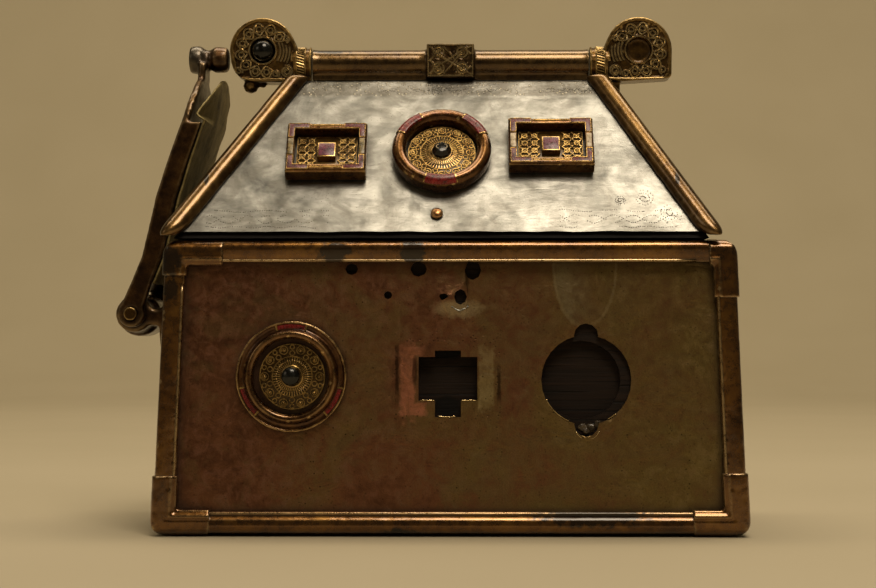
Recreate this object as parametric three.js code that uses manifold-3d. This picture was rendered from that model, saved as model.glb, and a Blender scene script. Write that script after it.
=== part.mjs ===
// House-shaped reliquary casket with a hinged carrying arm on its left end.
// Millimetres, +Z up, +X to the right of the front, +Y away from the front.
// The origin is on the underside of the base plate, at its centre.

import * as THREE from 'three';
import { RoundedBoxGeometry } from 'three/addons/geometries/RoundedBoxGeometry.js';
import { mergeVertices } from 'three/addons/utils/BufferGeometryUtils.js';
import Module from 'manifold-3d';

const wasm = await Module();
wasm.setup();

// Box
const boxLength = 108;
const boxDepth = 51;
const boxHeight = 53.4;
const leanAlong = 4.4;
const leanAcross = 2.4;
const wallThickness = 5;
const floorThickness = 5;
const plateThickness = 0.6;
const seatGap = 0.15;
const mountGap = 0.3;
const cutMargin = 1;

// Edge strips and corner caps
const stripWidth = 4.1;
const relief = 2.2;
const stripRound = 1.5;
const lipWidth = 0.8;
const lipDepth = 0.45;
const capStand = 0.45;
const capLip = 0.35;
const capRound = 1.9;
const frontCornerRound = 3.4;
const endCornerRound = 2.6;
const capReach = {
  left_front_bottom: { along: 11, across: 9, up: 10.9 },
  left_front_top: { along: 11.6, across: 9, up: 6.8 },
  right_front_bottom: { along: 10.5, across: 9, up: 11.5 },
  right_front_top: { along: 5.6, across: 9, up: 10.7 },
  left_back_bottom: { along: 10.5, across: 9, up: 11 },
  left_back_top: { along: 11, across: 9, up: 8.5 },
  right_back_bottom: { along: 10.5, across: 9, up: 11 },
  right_back_top: { along: 9.5, across: 9, up: 9.5 },
};

// Openings cut through the front plate
const crossCentre = { x: -0.3, z: 28.2 };
const crossWidth = 10.6;
const crossHeight = 7.9;
const crossNotchWidth = 4.7;
const crossNotchUp = 5.1;
const crossNotchDown = 6.9;
const roundCentre = { x: boxLength / 2 - 29.4, z: 28 };
const roundRadius = 8.1;
const roundNotchWidth = 4.4;
const roundNotchReach = 10.2;
const woodRecessDepth = 2;
const roundRecessRadius = 7.1;
const roundRecessShift = -0.9;
const nailHoleRadius = 0.75;
// Nail holes, by their shares of the box's length and height
const nailHoles = [
  { along: -0.164, up: 0.899 },
  { along: -0.052, up: 0.899 },
  { along: 0.039, up: 0.895 },
  { along: -0.103, up: 0.811 },
  { along: -0.011, up: 0.805 },
  { along: 0.0176, up: 0.805 },
];

// Roof of the lid, as the outer faces of its plates; the lid sits a little to the left
const plateLift = 1.2;
const roofRise = 30.4;
const roofInsetLeft = 1.8;
const roofInsetRight = 4.9;
const roofInsetFront = 0.8;
const leftRun = 20.4;
const rightRun = 18.6;
const ridgeHalfDepth = 3;
const lidWall = 4.5;
const lidHollowDrop = 10;
const hipRadius = 2.15;
const hipLift = 0.6;
const plateMargin = 1;

// Ridge bar with its middle block and collars
const ridgeLift = 3.65;
const ridgeRadius = 2.75;
const collarRadius = 3.15;
const collarLength = 3.6;
const ridgeFootWidth = 3.6;
const blockLength = 9.2;
const blockDepth = 8;
const blockHeight = 6.6;
const blockLift = 0.5;

// Finials
const finialInset = 17.8;
const finialLift = 2.35;
const finialRadius = 6.4;
const finialThickness = 5;
const finialRim = 0.7;
const finialSink = 0.45;
const finialDrop = 6.05;
const socketRadius = 2.4;
const socketDepth = 1.4;
const socketRim = 0.4;
const studFit = 0.2;
const finialLoops = 9;
const finialLoopRadius = 0.95;
const firstLoopAngle = -0.62 * Math.PI;
const loopSweep = 1.5 * Math.PI;
const curlShare = 1.15;
const finialStudHeight = 2.5;
const lobes = [
  { outward: 2.5, down: 0.4, radius: 1.6 },
  { outward: 0.2, down: 0, radius: 0.9 },
];
const shank = { fromRidgeEnd: 2.6, width: 1.8, depth: 2.4, drop: 2.6 };

// Roof mounts, by their place along and up the front slope
const roofRing = { x: -1.5, up: 17.75, radius: 9.2, wall: 2.6, height: 3.7 };
const rectMountHeight = 3.3;
const rectMountWall = 1.6;
const rectMounts = {
  left: { fromRing: 4.6, up: 17.6, length: 15, width: 11.7 },
  right: { fromRing: 3.1, up: 19, length: 15.8, width: 11.3 },
};
const cellSize = 3.4;
const nail = { x: -2.3, up: 4, radius: 1.15, height: 0.8 };
const roofFiligree = { loopCount: 12, loopRadius: 0.9, collar: 2.1, stud: 1.8, studHeight: 1.3 };
const cellHeight = 1.3;
const frameStep = 0.35;

// Round mount on the front of the box
const boxRing = {
  x: -boxLength / 2 + 25.5,
  z: 28.6,
  radius: 10,
  band: 1.5,
  bandHeight: 1.1,
  wall: 1.7,
  height: 2.6,
};
const boxFiligree = { loopCount: 10, loopRadius: 0.85, collar: 2.2, stud: 1.75, studHeight: 1.4 };

// Filigree panels
const panelThickness = 0.7;
const wireHeight = 0.4;
const wireWidth = 0.45;
const loopSides = 6;
const collarHeight = 0.6;

// Carrying arm and its hinge
const pivotStand = 5.4;
const pivotDrop = 13.3;
const armWidth = 26;
const armDepth = 4.7;
const flankThickness = 2.2;
const flankShare = 0.725;
const archShare = 0.917;
const backingShare = 0.931;
const outerPlate = 1.5;
const backingThickness = 0.6;
const eyeRadius = 2.6;
const pinRadius = 0.8;
const pinClearance = 0.3;
const rivetRadius = 1.3;
const rivetHeight = 0.7;
const knuckleRadius = 3.5;
const knuckleSwell = 4.2;
const swellLength = 9;
const knuckleClearance = 0.4;
const lugGap = 0.4;
const neckWidth = 7;
const bobbinRadius = 2.8;
const bobbinWaist = 1.9;
const bobbinStand = 2.2;
const bobbinDrop = 1.4;
const bracketReach = 4.1;
const bracketHeight = 16;
const bracketRise = 2.9;

// Box values worked out from the sizes above
const stripTop = boxHeight - capStand;
const stripHalfLength = boxLength / 2 - capStand;
const stripHalfDepth = boxDepth / 2 - capStand;
const stripThickness = relief - seatGap;
const plateHalfLength = stripHalfLength - relief;
const plateHalfDepth = stripHalfDepth - relief;
const woodHalfLength = plateHalfLength - plateThickness - seatGap;
const woodHalfDepth = plateHalfDepth - plateThickness - seatGap;
const woodTop = stripTop - relief;
const woodFoot = capStand + relief;
const basePlateInset = stripWidth + capLip + seatGap;
const topHalfLength = (boxLength - leanAlong) / 2;
const topHalfDepth = (boxDepth - leanAcross) / 2;

// Lid values
const roofFoot = boxHeight + plateLift;
const roofTop = roofFoot + roofRise;
const roofLeft = -topHalfLength + roofInsetLeft;
const roofRight = topHalfLength - roofInsetRight;
const roofHalfDepth = topHalfDepth - roofInsetFront;
const frontRun = roofHalfDepth - ridgeHalfDepth;
const ridgeLeft = roofLeft + leftRun;
const ridgeRight = roofRight - rightRun;
const frontSlope = Math.atan2(roofRise, frontRun);
const hipFoot = boxHeight + hipLift;
const hipTop = roofTop + hipRadius / 2;
const ridgeAxis = roofTop + ridgeLift;
const ridgeSeat = roofTop + seatGap;
const blockBottom = roofTop + blockLift;
const blockTop = blockBottom + blockHeight;
const finialX = boxLength / 2 - finialInset;
const finialHeight = ridgeAxis + finialLift;

// Arm values
const pivot = { x: -boxLength / 2 - pivotStand, z: boxHeight - pivotDrop };
const bobbinHeight = finialHeight - bobbinDrop;
const armRise = bobbinHeight - pivot.z;
const flankTop = pivot.z + flankShare * armRise;
const archTop = pivot.z + archShare * armRise;
const backingTop = pivot.z + backingShare * armRise;
const armFoot = pivot.z + knuckleSwell - 0.3;
const lugTop = pivot.z + knuckleSwell + 1.7;
const backingFoot = pivot.z + knuckleSwell + 1.3;
const armInside = armWidth / 2 - flankThickness;
const knuckleHalfWidth = armInside - lugGap;
const flankDepth = armDepth - backingThickness - seatGap;
const bracketFace = pivot.x + bracketReach;
const bracketTop = pivot.z + bracketRise;
const bracketFoot = bracketTop - bracketHeight;

// Materials
function finish(color, roughness, metalness) {
  return new THREE.MeshStandardMaterial({ color, roughness, metalness });
}
const bronze = finish(0x8a5f2c, 0.4, 1);
const darkBronze = finish(0x4a3018, 0.55, 1);
const silver = finish(0xa9a48c, 0.4, 1);
const frontSheet = finish(0x6a4f40, 0.5, 1);
const wood = finish(0x24170f, 0.8, 0);
const gilt = finish(0xa87b2c, 0.35, 1);
const glass = finish(0x14161c, 0.1, 0);
const backingSheet = finish(0x5c5638, 0.7, 0.6);

// Solids: join, cut and common go through a solid modeller and come back as geometry
function solid(geometry) {
  const bare = geometry.clone();
  bare.deleteAttribute('normal');
  bare.deleteAttribute('uv');
  const merged = mergeVertices(bare, 1e-4);
  const vertProperties = new Float32Array(merged.attributes.position.array);
  const corners = [];
  for (let i = 0; i < merged.index.count; i += 3) {
    const [a, b, c] = merged.index.array.slice(i, i + 3);
    if (a !== b && b !== c && c !== a) corners.push(a, b, c);
  }
  const triVerts = new Uint32Array(corners);
  return new wasm.Manifold(new wasm.Mesh({ numProp: 3, vertProperties, triVerts }));
}

function geometryOf(body) {
  const mesh = body.getMesh();
  const geometry = new THREE.BufferGeometry();
  geometry.setAttribute('position', new THREE.BufferAttribute(mesh.vertProperties, 3));
  geometry.setIndex(new THREE.BufferAttribute(mesh.triVerts, 1));
  return geometry;
}

function join(geometries) {
  const bodies = geometries.map(solid);
  return geometryOf(bodies.reduce((whole, body) => whole.add(body)));
}

function cut(geometry, tools) {
  const bodies = tools.map(solid);
  return geometryOf(bodies.reduce((whole, body) => whole.subtract(body), solid(geometry)));
}

function common(geometry, tools) {
  const bodies = tools.map(solid);
  return geometryOf(bodies.reduce((whole, body) => whole.intersect(body), solid(geometry)));
}

// Basic forms
function block(x0, x1, y0, y1, z0, z1) {
  const geometry = new THREE.BoxGeometry(x1 - x0, y1 - y0, z1 - z0);
  return geometry.translate((x0 + x1) / 2, (y0 + y1) / 2, (z0 + z1) / 2);
}

function rodAlongY(x, z, radius, y0, y1, sides) {
  const geometry = new THREE.CylinderGeometry(radius, radius, y1 - y0, sides);
  return geometry.translate(x, (y0 + y1) / 2, z);
}

// An outline in X and Z, pushed along Y
function slab(outline, y0, y1, curveSteps = 6) {
  const shape = outline instanceof THREE.Shape ? outline : new THREE.Shape(outline);
  const geometry = new THREE.ExtrudeGeometry(shape, {
    depth: y1 - y0,
    bevelEnabled: false,
    curveSegments: curveSteps,
  });
  return geometry.rotateX(Math.PI / 2).translate(0, y1, 0);
}

function points(pairs) {
  return pairs.map(([x, y]) => new THREE.Vector2(x, y));
}

// An outline in Y and Z, pushed along X
function slabAlongX(outline, x0, x1) {
  const settings = { depth: x1 - x0, bevelEnabled: false, curveSegments: 6 };
  const geometry = new THREE.ExtrudeGeometry(outline, settings);
  return geometry.rotateX(Math.PI / 2).rotateZ(Math.PI / 2).translate(x0, 0, 0);
}

// A profile of radius and height, listed upwards on its outside, turned about Z.
// It either starts and ends on the axis or is closed on itself.
function turned(profile, segments) {
  const onAxis = profile[0][0] === 0;
  const line = points(onAxis ? profile : [...profile, profile[0]]);
  return new THREE.LatheGeometry(line, segments).rotateX(Math.PI / 2);
}

// A raised wire loop lying on the XY plane, with a ridged section
function wireLoop(x, y, floor, radius, sides) {
  const profile = [
    [radius - wireWidth, floor - wireHeight],
    [radius + wireWidth, floor - wireHeight],
    [radius, floor + wireHeight],
  ];
  return turned(profile, sides).translate(x, y, 0);
}

// A straight ridged wire between two points on the XY plane
function wireBar(from, to, floor) {
  const span = new THREE.Vector2().subVectors(to, from);
  const section = new THREE.Shape(points([
    [-wireWidth, -wireHeight],
    [wireWidth, -wireHeight],
    [0, wireHeight],
  ]));
  const geometry = new THREE.ExtrudeGeometry(section, { depth: span.length(), bevelEnabled: false });
  geometry.rotateX(Math.PI / 2).translate(0, span.length(), 0);
  return geometry.rotateZ(span.angle() - Math.PI / 2).translate(from.x, from.y, floor);
}

// The box is a little shorter and shallower at its top
function lengthShare(z) {
  return 1 - (leanAlong / boxLength) * (z / boxHeight);
}

function depthShare(z) {
  return 1 - (leanAcross / boxDepth) * (z / boxHeight);
}

function lean(geometry) {
  const spots = geometry.attributes.position;
  for (let i = 0; i < spots.count; i += 1) {
    const z = spots.getZ(i);
    spots.setX(i, spots.getX(i) * lengthShare(z));
    spots.setY(i, spots.getY(i) * depthShare(z));
  }
  return geometry;
}

// Model
const casket = new THREE.Group();

function place(name, geometry, material, group = casket) {
  const flat = geometry.index ? geometry.toNonIndexed() : geometry;
  flat.computeVertexNormals();
  const mesh = new THREE.Mesh(flat, material);
  mesh.name = name;
  group.add(mesh);
  return mesh;
}

// Wooden box with a raised pad under its floor that carries the base plate
function boxCore() {
  const padLength = stripHalfLength - basePlateInset;
  const padDepth = stripHalfDepth - basePlateInset;
  const padFoot = plateThickness + seatGap;
  const outside = block(
    -woodHalfLength, woodHalfLength, -woodHalfDepth, woodHalfDepth,
    woodFoot, woodTop,
  );
  const pad = block(-padLength, padLength, -padDepth, padDepth, padFoot, woodFoot + cutMargin);
  const hollowLength = woodHalfLength - wallThickness;
  const hollowDepth = woodHalfDepth - wallThickness;
  const hollow = block(
    -hollowLength, hollowLength, -hollowDepth, hollowDepth,
    padFoot + floorThickness, woodTop + cutMargin,
  );
  const leaned = lean(cut(join([outside, pad]), [hollow]));
  place('box_core', cut(leaned, woodRecesses()), wood);
}

// Shallow sockets in the front wall behind the two openings of the front plate
function woodRecesses() {
  const y = -woodHalfDepth + woodRecessDepth;
  const { x, z } = roundCentre;
  return [
    ...crossOpening(y),
    rodAlongY(x + roundRecessShift, z, roundRecessRadius, -boxDepth / 2, y, 24),
  ];
}

function crossOpening(y1) {
  const { x, z } = crossCentre;
  const y0 = -boxDepth / 2;
  const half = crossWidth / 2;
  const notch = crossNotchWidth / 2;
  return [
    block(x - half, x + half, y0, y1, z - crossHeight / 2, z + crossHeight / 2),
    block(x - notch, x + notch, y0, y1, z - crossNotchDown, z + crossNotchUp),
  ];
}

function roundOpening() {
  const { x, z } = roundCentre;
  const notch = roundNotchWidth / 2;
  return [
    rodAlongY(x, z, roundRadius, -boxDepth / 2, 0, 28),
    rodAlongY(x, z + roundNotchReach - notch, notch, -boxDepth / 2, 0, 12),
    rodAlongY(x, z - roundNotchReach + notch, notch, -boxDepth / 2, 0, 12),
  ];
}

// Sheet metal on the faces of the box
function boxPlates() {
  const z0 = woodFoot;
  const z1 = woodTop;
  const long = woodHalfLength;
  const short = woodHalfDepth;
  const inY = plateHalfDepth - plateThickness;
  const inX = plateHalfLength - plateThickness;
  const front = lean(block(-long, long, -plateHalfDepth, -inY, z0, z1));
  const holes = nailHoles.map(({ along, up }) => (
    rodAlongY(along * boxLength, up * boxHeight, nailHoleRadius, -boxDepth / 2, 0, 8)
  ));
  place('front_plate', cut(front, [...crossOpening(0), ...roundOpening(), ...holes]), frontSheet);
  place('back_plate', lean(block(-long, long, inY, plateHalfDepth, z0, z1)), frontSheet);
  place('left_end_plate', lean(block(-plateHalfLength, -inX, -short, short, z0, z1)), frontSheet);
  place('right_end_plate', lean(block(inX, plateHalfLength, -short, short, z0, z1)), frontSheet);
  const baseLong = stripHalfLength - basePlateInset;
  const baseShort = stripHalfDepth - basePlateInset;
  place('base_plate', block(-baseLong, baseLong, -baseShort, baseShort, 0, plateThickness), frontSheet);
}

// A hollow frame along all twelve edges, open on every face
function edgeFrame(stand, lip, round) {
  const long = stripHalfLength + stand;
  const short = stripHalfDepth + stand;
  const low = capStand - stand;
  const high = stripTop + stand;
  const width = stripWidth + lip;
  const outside = new RoundedBoxGeometry(2 * long, 2 * short, high - low, 2, round);
  outside.translate(0, 0, (low + high) / 2);
  const inLong = stripHalfLength - stripThickness;
  const inShort = stripHalfDepth - stripThickness;
  const inLow = capStand + stripThickness;
  const inHigh = stripTop - stripThickness;
  const openLong = stripHalfLength - width;
  const openShort = stripHalfDepth - width;
  const openLow = capStand + width;
  const openHigh = stripTop - width;
  const edgeLong = openLong + lipWidth;
  const edgeShort = openShort + lipWidth;
  const edgeLow = openLow - lipWidth;
  const edgeHigh = openHigh + lipWidth;
  const lips = [-1, 1].flatMap((side) => {
    const xs = inward(side, long, lipDepth);
    const ys = inward(side, short, lipDepth);
    const zs = side < 0 ? [low - cutMargin, low + lipDepth] : [high - lipDepth, high + cutMargin];
    return [
      block(-edgeLong, edgeLong, ...ys, edgeLow, edgeHigh),
      block(...xs, -edgeShort, edgeShort, edgeLow, edgeHigh),
      block(-edgeLong, edgeLong, -edgeShort, edgeShort, ...zs),
    ];
  });
  return cut(outside, [
    ...lips,
    block(-inLong, inLong, -inShort, inShort, inLow, inHigh),
    block(-openLong, openLong, -boxDepth, boxDepth, openLow, openHigh),
    block(-boxLength, boxLength, -openShort, openShort, openLow, openHigh),
    block(-openLong, openLong, -openShort, openShort, -cutMargin, boxHeight + cutMargin),
  ]);
}

// A span that starts at a corner and runs inwards by a reach
function inward(side, half, reach) {
  return side < 0 ? [-half - cutMargin, -half + reach] : [half - reach, half + cutMargin];
}

function upward(level, reach) {
  return level === 'bottom' ? [-cutMargin, reach] : [boxHeight - reach, boxHeight + cutMargin];
}

const sideOf = { left: -1, right: 1, front: -1, back: 1 };
const legWidth = capStand + stripWidth + capLip + seatGap;

function cornerCaps() {
  const corners = new THREE.Shape();
  const half = boxLength / 2;
  const r = frontCornerRound;
  corners.moveTo(-half + r, 0).lineTo(half - r, 0).absarc(half - r, r, r, -Math.PI / 2, 0);
  corners.lineTo(half, boxHeight - r).absarc(half - r, boxHeight - r, r, 0, Math.PI / 2);
  corners.lineTo(-half + r, boxHeight).absarc(-half + r, boxHeight - r, r, Math.PI / 2, Math.PI);
  corners.lineTo(-half, r).absarc(-half + r, r, r, Math.PI, 1.5 * Math.PI);
  const frontView = slab(corners, -boxDepth, boxDepth, 3);
  const endView = new RoundedBoxGeometry(4 * boxLength, boxDepth, boxHeight, 2, endCornerRound);
  endView.translate(0, 0, boxHeight / 2);
  const frame = common(edgeFrame(capStand, capLip, capRound), [frontView, endView]);
  for (const [corner, reach] of Object.entries(capReach)) {
    const [end, face, level] = corner.split('_');
    const xs = (length) => inward(sideOf[end], boxLength / 2, length);
    const ys = (length) => inward(sideOf[face], boxDepth / 2, length);
    const zs = (length) => upward(level, length);
    const region = join([
      block(...xs(reach.along), ...ys(legWidth), ...zs(legWidth)),
      block(...xs(legWidth), ...ys(reach.across), ...zs(legWidth)),
      block(...xs(legWidth), ...ys(legWidth), ...zs(reach.up)),
    ]);
    place(`cap_${face}_${end}_${level}`, lean(common(frame, [region])), bronze);
  }
}

function edgeStrips() {
  const frame = edgeFrame(0, 0, stripRound);
  const put = (name, region) => place(name, lean(common(frame, [region])), bronze);
  for (const face of ['front', 'back']) {
    const ys = inward(sideOf[face], boxDepth / 2, legWidth);
    for (const level of ['bottom', 'top']) {
      const x0 = -boxLength / 2 + capReach[`left_${face}_${level}`].along + seatGap;
      const x1 = boxLength / 2 - capReach[`right_${face}_${level}`].along - seatGap;
      put(`strip_${face}_${level}`, block(x0, x1, ...ys, ...upward(level, legWidth)));
    }
    for (const end of ['left', 'right']) {
      const xs = inward(sideOf[end], boxLength / 2, legWidth);
      const z0 = capReach[`${end}_${face}_bottom`].up + seatGap;
      const z1 = boxHeight - capReach[`${end}_${face}_top`].up - seatGap;
      put(`strip_${face}_${end}_upright`, block(...xs, ...ys, z0, z1));
    }
  }
  for (const end of ['left', 'right']) {
    const xs = inward(sideOf[end], boxLength / 2, legWidth);
    for (const level of ['bottom', 'top']) {
      const y0 = -boxDepth / 2 + capReach[`${end}_front_${level}`].across + seatGap;
      const y1 = boxDepth / 2 - capReach[`${end}_back_${level}`].across - seatGap;
      put(`strip_${end}_${level}`, block(...xs, y0, y1, ...upward(level, legWidth)));
    }
  }
}

// Roof faces at a height, moved inwards by an inset measured square to the face
function insetAlong(run, inset) {
  return (inset * Math.hypot(roofRise, run)) / roofRise;
}

function roofFaces(z, inset) {
  const share = (z - roofFoot) / roofRise;
  return {
    left: roofLeft + leftRun * share + insetAlong(leftRun, inset),
    right: roofRight - rightRun * share - insetAlong(rightRun, inset),
    half: roofHalfDepth - frontRun * share - insetAlong(frontRun, inset),
  };
}

// A unit box bent to lie between given faces at its foot and its top
function tapered(z0, z1, spanX, spanY) {
  const geometry = new THREE.BoxGeometry(1, 1, 1);
  const spots = geometry.attributes.position;
  for (let i = 0; i < spots.count; i += 1) {
    const z = spots.getZ(i) < 0 ? z0 : z1;
    const x = spots.getX(i) < 0 ? spanX(z)[0] : spanX(z)[1];
    const y = spots.getY(i) < 0 ? spanY(z)[0] : spanY(z)[1];
    spots.setXYZ(i, x, y, z);
  }
  return geometry;
}

function roofBlock(inset, z0, z1) {
  const spanX = (z) => [roofFaces(z, inset).left, roofFaces(z, inset).right];
  const spanY = (z) => [-roofFaces(z, inset).half, roofFaces(z, inset).half];
  return tapered(z0, z1, spanX, spanY);
}

function lidCore() {
  const foot = boxHeight + seatGap;
  const inset = plateThickness + seatGap;
  const outside = roofBlock(inset, foot, roofTop - seatGap);
  const hollow = roofBlock(inset + lidWall, foot - cutMargin, roofTop - lidHollowDrop);
  place('lid_core', cut(outside, [hollow]), wood);
}

function roofPlates() {
  const outer = (z) => roofFaces(z, 0);
  const inner = (z) => roofFaces(z, plateThickness);
  const alongX = (z) => [outer(z).left + plateMargin, outer(z).right - plateMargin];
  const alongY = (z) => [-outer(z).half + plateMargin, outer(z).half - plateMargin];
  const sheets = {
    roof_front_plate: [alongX, (z) => [-outer(z).half, -inner(z).half]],
    roof_back_plate: [alongX, (z) => [inner(z).half, outer(z).half]],
    roof_left_plate: [(z) => [outer(z).left, inner(z).left], alongY],
    roof_right_plate: [(z) => [inner(z).right, outer(z).right], alongY],
  };
  for (const [name, [spanX, spanY]] of Object.entries(sheets)) {
    place(name, tapered(roofFoot, roofTop, spanX, spanY), silver);
  }
}

// A round bar along each hip, notched over the roof plates
function hipStrips() {
  const ridgeRoom = new THREE.CylinderGeometry(
    collarRadius + mountGap, collarRadius + mountGap, boxLength, 24,
  );
  ridgeRoom.rotateZ(Math.PI / 2).translate(0, 0, ridgeAxis);
  const headHalf = finialThickness / 2 + mountGap;
  const headFoot = finialHeight - finialDrop - mountGap;
  const headRoom = block(-boxLength, boxLength, -headHalf, headHalf, headFoot, hipTop + cutMargin);
  const roof = roofBlock(-seatGap, hipFoot - 2 * cutMargin, hipTop + 2 * cutMargin);
  for (const face of ['front', 'back']) {
    for (const end of ['left', 'right']) {
      const corner = (z) => {
        const faces = roofFaces(z, 0);
        return new THREE.Vector3(faces[end], sideOf[face] * faces.half, z);
      };
      const low = corner(hipFoot - 3 * cutMargin);
      const high = corner(hipTop);
      const span = new THREE.Vector3().subVectors(high, low);
      const bar = new THREE.CylinderGeometry(hipRadius, hipRadius, span.length(), 14);
      bar.translate(0, span.length() / 2, 0);
      const turn = new THREE.Quaternion().setFromUnitVectors(
        new THREE.Vector3(0, 1, 0), span.clone().normalize(),
      );
      bar.applyQuaternion(turn).translate(low.x, low.y, low.z);
      const level = block(-boxLength, boxLength, -boxDepth, boxDepth, hipFoot, hipTop);
      const strip = cut(common(bar, [level]), [roof, ridgeRoom, headRoom]);
      place(`hip_strip_${face}_${end}`, strip, bronze);
    }
  }
}

// Ridge
const collarInner = finialX - finialRadius - collarLength + 0.6;

function rodAlongX(x0, x1, radius, sides) {
  const geometry = new THREE.CylinderGeometry(radius, radius, x1 - x0, sides);
  return geometry.rotateZ(Math.PI / 2).translate((x0 + x1) / 2, 0, ridgeAxis);
}

function ridgeFoot(x0, x1) {
  return block(x0, x1, -ridgeFootWidth / 2, ridgeFootWidth / 2, ridgeSeat, ridgeAxis);
}

function ridgeBar() {
  const end = collarInner - seatGap;
  const half = blockLength / 2;
  const face = -blockDepth / 2;
  const middle = blockBottom + blockHeight / 2;
  const loopX = blockLength / 4 - wireWidth / 4;
  const loopZ = blockHeight / 4 - wireWidth / 4;
  const loopRadius = Math.min(loopX, loopZ) - wireWidth / 8;
  const knots = [-1, 1].flatMap((u) => [-1, 1].map((v) => (
    wireLoop(u * loopX, v * loopZ, 0, loopRadius, 8)
  )));
  const reachX = half - wireWidth;
  const reachZ = blockHeight / 2 - wireWidth;
  for (const v of [-1, 1]) {
    const from = new THREE.Vector2(-reachX, -v * reachZ);
    const to = new THREE.Vector2(reachX, v * reachZ);
    knots.push(wireBar(from, to, 0));
  }
  const carving = join(knots).rotateX(Math.PI / 2).translate(0, face, middle);
  const body = join([
    rodAlongX(-end, end, ridgeRadius, 16),
    ridgeFoot(-end, end),
    block(-half, half, face, -face, blockBottom, blockTop),
    carving,
  ]);
  place('ridge_bar', body, bronze);
}

// Finial outline about the stud, drawn for the right side; the left one is mirrored
function finialOutline(side, inset, squareness) {
  const r = finialRadius - inset;
  const foot = -finialDrop + inset;
  const inner = -finialRadius - 0.3 + inset;
  const outer = r - 0.1;
  const corner = 1.4 + (1 - squareness) * 4.2;
  const shape = new THREE.Shape();
  shape.moveTo(inner + 1.2, foot + 0.3);
  shape.lineTo(inner + 3.6, foot);
  shape.lineTo(outer - corner, foot + 0.5 * squareness);
  shape.quadraticCurveTo(outer, foot + 0.5 * squareness, outer, foot + corner);
  shape.lineTo(r, 0);
  shape.absarc(0, 0, r, 0, Math.PI * 0.88);
  shape.lineTo(inner, 0.6);
  shape.lineTo(inner, foot + 1.2);
  if (side > 0) return shape;
  const mirrored = shape.getPoints(6).map((p) => new THREE.Vector2(-p.x, p.y)).reverse();
  return new THREE.Shape(mirrored);
}

function finialPieces(side, squareness) {
  const half = finialThickness / 2;
  const blank = slab(finialOutline(side, 0, squareness), -half, half);
  const sinks = [
    slab(finialOutline(side, finialRim, squareness), -half - cutMargin, -half + finialSink),
    slab(finialOutline(side, finialRim, squareness), half - finialSink, half + cutMargin),
  ];
  const sunk = cut(blank, sinks);
  const ringRadius = (finialRadius - finialRim + socketRadius + socketRim) / 2;
  const loops = [];
  for (let i = 0; i < finialLoops; i += 1) {
    const angle = firstLoopAngle + (loopSweep * i) / (finialLoops - 1);
    const x = side * ringRadius * Math.cos(angle);
    loops.push(wireLoop(x, ringRadius * Math.sin(angle), 0, finialLoopRadius, loopSides));
  }
  const curl = finialLoopRadius * curlShare;
  const curlX = -side * (finialRadius - finialRim - curl);
  loops.push(wireLoop(curlX, -finialDrop + finialRim + curl, 0, curl, loopSides));
  const carving = join(loops).rotateX(Math.PI / 2).translate(0, -half + finialSink, 0);
  const rim = rodAlongY(0, 0, socketRadius + socketRim, -half, half, 14);
  const body = join([sunk, carving, rim]);
  const socket = rodAlongY(0, 0, socketRadius, -half - cutMargin, -half + socketDepth, 14);
  const head = cut(body, [socket]).translate(side * finialX, 0, finialHeight);
  const collarStart = side * collarInner;
  const collarEnd = side * (finialX - finialRadius + 1);
  const [x0, x1] = [Math.min(collarStart, collarEnd), Math.max(collarStart, collarEnd)];
  return [head, rodAlongX(x0, x1, collarRadius, 16), ridgeFoot(x0, x1)];
}

function finials() {
  const underside = finialHeight - finialDrop;
  const lobePieces = lobes.map(({ outward, down, radius }) => {
    const ball = new THREE.SphereGeometry(radius, 8, 6);
    return ball.translate(-finialX - outward, 0, underside - down);
  });
  place('finial_left', join([...finialPieces(-1, 0), ...lobePieces]), bronze);
  const x0 = ridgeRight + shank.fromRidgeEnd;
  const half = shank.depth / 2;
  const foot = roofTop - shank.drop;
  const bar = block(x0, x0 + shank.width, -half, half, foot, underside + cutMargin);
  place('finial_right', join([...finialPieces(1, 1), bar]), bronze);
  const studRadius = socketRadius - studFit;
  const studFoot = -finialThickness / 2 + socketDepth - studFit;
  const stud = domeStud(studRadius, 0, finialStudHeight, 14).rotateX(Math.PI / 2);
  place('finial_stud', stud.translate(-finialX, studFoot, finialHeight), glass);
}

// Round mounts: a ring, a filigree panel and a stud
const studSeat = mountGap + panelThickness + collarHeight + seatGap;

function filigreeDisc(radius, { loopCount, loopRadius, collar }) {
  const floor = mountGap + panelThickness;
  const base = turned([[0, mountGap], [radius, mountGap], [radius, floor], [0, floor]], 24);
  const loops = [];
  const ringRadius = radius - loopRadius - wireWidth / 2;
  for (let i = 0; i < loopCount; i += 1) {
    const angle = (2 * Math.PI * i) / loopCount;
    const x = ringRadius * Math.cos(angle);
    loops.push(wireLoop(x, ringRadius * Math.sin(angle), floor, loopRadius, loopSides));
  }
  loops.push(wireLoop(0, 0, floor, (ringRadius - loopRadius + collar) / 2, 12));
  const low = floor - wireHeight;
  const high = floor + collarHeight;
  const seat = turned([[0, low], [collar, low], [collar, high], [0, high]], 16);
  return join([base, ...loops, seat]);
}

function domeStud(radius, foot, height, sides) {
  const shoulder = [radius * 0.9, foot + height * 0.55];
  const crown = [radius * 0.5, foot + height * 0.9];
  return turned([[0, foot], [radius, foot], shoulder, crown, [0, foot + height]], sides);
}

const slope = new THREE.Group();
slope.position.set(0, -roofHalfDepth, roofFoot);
slope.rotation.x = frontSlope;
casket.add(slope);

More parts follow.
